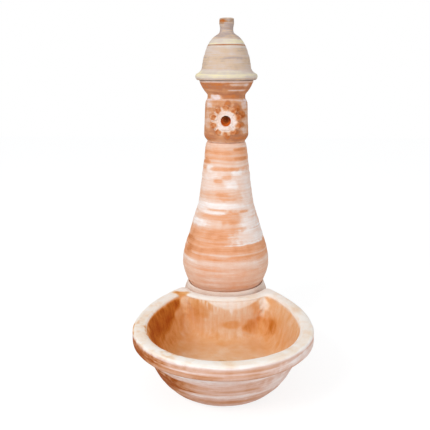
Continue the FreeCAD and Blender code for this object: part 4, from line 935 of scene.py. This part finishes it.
# Fittings keep their CAD shape and take a worn material
Look = namedtuple("Look", "colour roughness metal grain depth brushed")
FITTINGS = {
    "black_rubber": Look((34, 34, 35), 0.72, 0.0, 700, 0.0002, False),
    "pipe_plastic": Look((92, 95, 98), 0.48, 0.0, 500, 0.0001, False),
    "pump_plastic": Look((44, 46, 50), 0.42, 0.0, 600, 0.0002, False),
    "intake_plastic": Look((52, 54, 58), 0.50, 0.0, 600, 0.0002, False),
    "dial_plastic": Look((70, 104, 150), 0.45, 0.0, 500, 0.0001, False),
    "rotor_plastic": Look((190, 188, 180), 0.45, 0.0, 500, 0.0001, False),
    "gland_plastic": Look((48, 48, 49), 0.55, 0.0, 500, 0.0002, False),
    "drain_brass": Look((190, 156, 92), 0.36, 1.0, 260, 0.0001, True),
    "strainer_steel": Look((176, 176, 172), 0.34, 1.0, 320, 0.0001, True),
    "clip_steel": Look((180, 180, 178), 0.32, 1.0, 320, 0.0001, True),
    "screw_steel": Look((180, 180, 178), 0.32, 1.0, 320, 0.0001, True),
    "shaft_steel": Look((196, 196, 196), 0.20, 1.0, 400, 0.0001, True),
}


def dress_fittings():
    looks = {slot: fitting(slot + "_worn", look) for slot, look in FITTINGS.items()}
    for entry in frame["record"]["subparts"]:
        if entry["material_slot"] in looks:
            node = frame["nodes"][entry["node"]]
            node.data.materials.clear()
            node.data.materials.append(looks[entry["material_slot"]])


# Stage: pale floor, white surround, soft light from the upper left and a low fill from the front
Lamp = namedtuple("Lamp", "place aim width power")
LAMPS = {
    "key": Lamp((-2.2, -2.9, 2.8), (0, -0.2, 0.4), 1.4, 66.0),
    "fill": Lamp((1.2, -2.8, 0.7), (0, -0.3, 0.4), 2.0, 17.0),
}
WHITE = (1.0, 1.0, 1.0, 1.0)
SKY_COLOUR = (0.97, 0.985, 1.0, 1.0)
SKY_STRENGTH = 0.64
FLOOR_HALF = 6.0
FLOOR_SHADE = 0.30
FLOOR_LIFT = 0.80
FLOOR_BOUNCE = 0.80


def seen_directly(tree):
    """1 for rays from the camera and for what gloss and glass show of the surround."""
    path = tree.nodes.new("ShaderNodeLightPath")
    total = path.outputs["Is Camera Ray"]
    for name in ("Is Glossy Ray", "Is Transmission Ray"):
        joined = tree.nodes.new("ShaderNodeMath")
        joined.operation = "MAXIMUM"
        tree.links.new(total, joined.inputs[0])
        tree.links.new(path.outputs[name], joined.inputs[1])
        total = joined.outputs[0]
    return total


def show_directly(tree, otherwise, shown, output_kind):
    """Send shown to the rays that see the surround directly, and otherwise to the rest."""
    either = tree.nodes.new("ShaderNodeMixShader")
    tree.links.new(seen_directly(tree), either.inputs[0])
    tree.links.new(otherwise.outputs[0], either.inputs[1])
    tree.links.new(shown.outputs[0], either.inputs[2])
    output = tree.nodes.new(output_kind)
    tree.links.new(either.outputs[0], output.inputs["Surface"])


def background(tree, colour, strength):
    made = tree.nodes.new("ShaderNodeBackground")
    made.inputs["Color"].default_value = colour
    made.inputs["Strength"].default_value = strength
    return made


def matt(tree, grey):
    made = tree.nodes.new("ShaderNodeBsdfDiffuse")
    made.inputs["Color"].default_value = (grey, grey, grey, 1.0)
    return made


def make_world():
    world = bpy.data.worlds.new("white_surround")
    world.use_nodes = True
    tree = world.node_tree
    tree.nodes.clear()
    sky = background(tree, SKY_COLOUR, SKY_STRENGTH)
    shown = background(tree, WHITE, 1.0)
    show_directly(tree, sky, shown, "ShaderNodeOutputWorld")
    bpy.context.scene.world = world


def floor_material():
    """Pale and lit from within to the eye, so that it stays near white and keeps the shadow."""
    material = bpy.data.materials.new("pale_floor")
    material.use_nodes = True
    tree = material.node_tree
    tree.nodes.clear()
    lift = tree.nodes.new("ShaderNodeEmission")
    lift.inputs["Color"].default_value = WHITE
    lift.inputs["Strength"].default_value = FLOOR_LIFT
    shown = tree.nodes.new("ShaderNodeAddShader")
    tree.links.new(matt(tree, FLOOR_SHADE).outputs[0], shown.inputs[0])
    tree.links.new(lift.outputs[0], shown.inputs[1])
    show_directly(tree, matt(tree, FLOOR_BOUNCE), shown, "ShaderNodeOutputMaterial")
    return material


def make_floor():
    mesh = bpy.data.meshes.new("floor")
    corners = [(x * FLOOR_HALF, y * FLOOR_HALF, 0) for x, y in ((-1, -1), (1, -1), (1, 1), (-1, 1))]
    mesh.from_pydata(corners, [], [(0, 1, 2, 3)])
    mesh.materials.append(floor_material())
    floor = bpy.data.objects.new("floor", mesh)
    bpy.context.scene.collection.objects.link(floor)


def make_light(name, lamp):
    data = bpy.data.lights.new(name, "AREA")
    data.energy = lamp.power
    data.size = lamp.width
    light = bpy.data.objects.new(name, data)
    light.location = lamp.place
    light.rotation_mode = "QUATERNION"
    light.rotation_quaternion = (Vector(lamp.aim) - Vector(lamp.place)).to_track_quat("-Z", "Y")
    bpy.context.scene.collection.objects.link(light)


def make_camera():
    data = bpy.data.cameras.new("photo_camera")
    data.sensor_width = SENSOR
    data.lens = FOCAL_PIXELS / PICTURE_SIDE * SENSOR
    camera = bpy.data.objects.new("photo_camera", data)
    left = radians(CAMERA_LEFT)
    down = radians(CAMERA_DOWN)
    ahead = Vector((-sin(left) * cos(down), cos(left) * cos(down), -sin(down)))
    camera.location = CAMERA_PLACE
    camera.rotation_mode = "QUATERNION"
    camera.rotation_quaternion = ahead.to_track_quat("-Z", "Y")
    bpy.context.scene.collection.objects.link(camera)
    bpy.context.scene.camera = camera


dress_basin()
dress_pedestal()
dress_column()
dress_head()
dress_rosette()
dress_spout_pipe()
dress_cap()
dress_fittings()
make_world()
make_floor()
for lamp_name, lamp in LAMPS.items():
    make_light(lamp_name, lamp)
make_camera()
bpy.context.scene.view_settings.view_transform = "Standard"
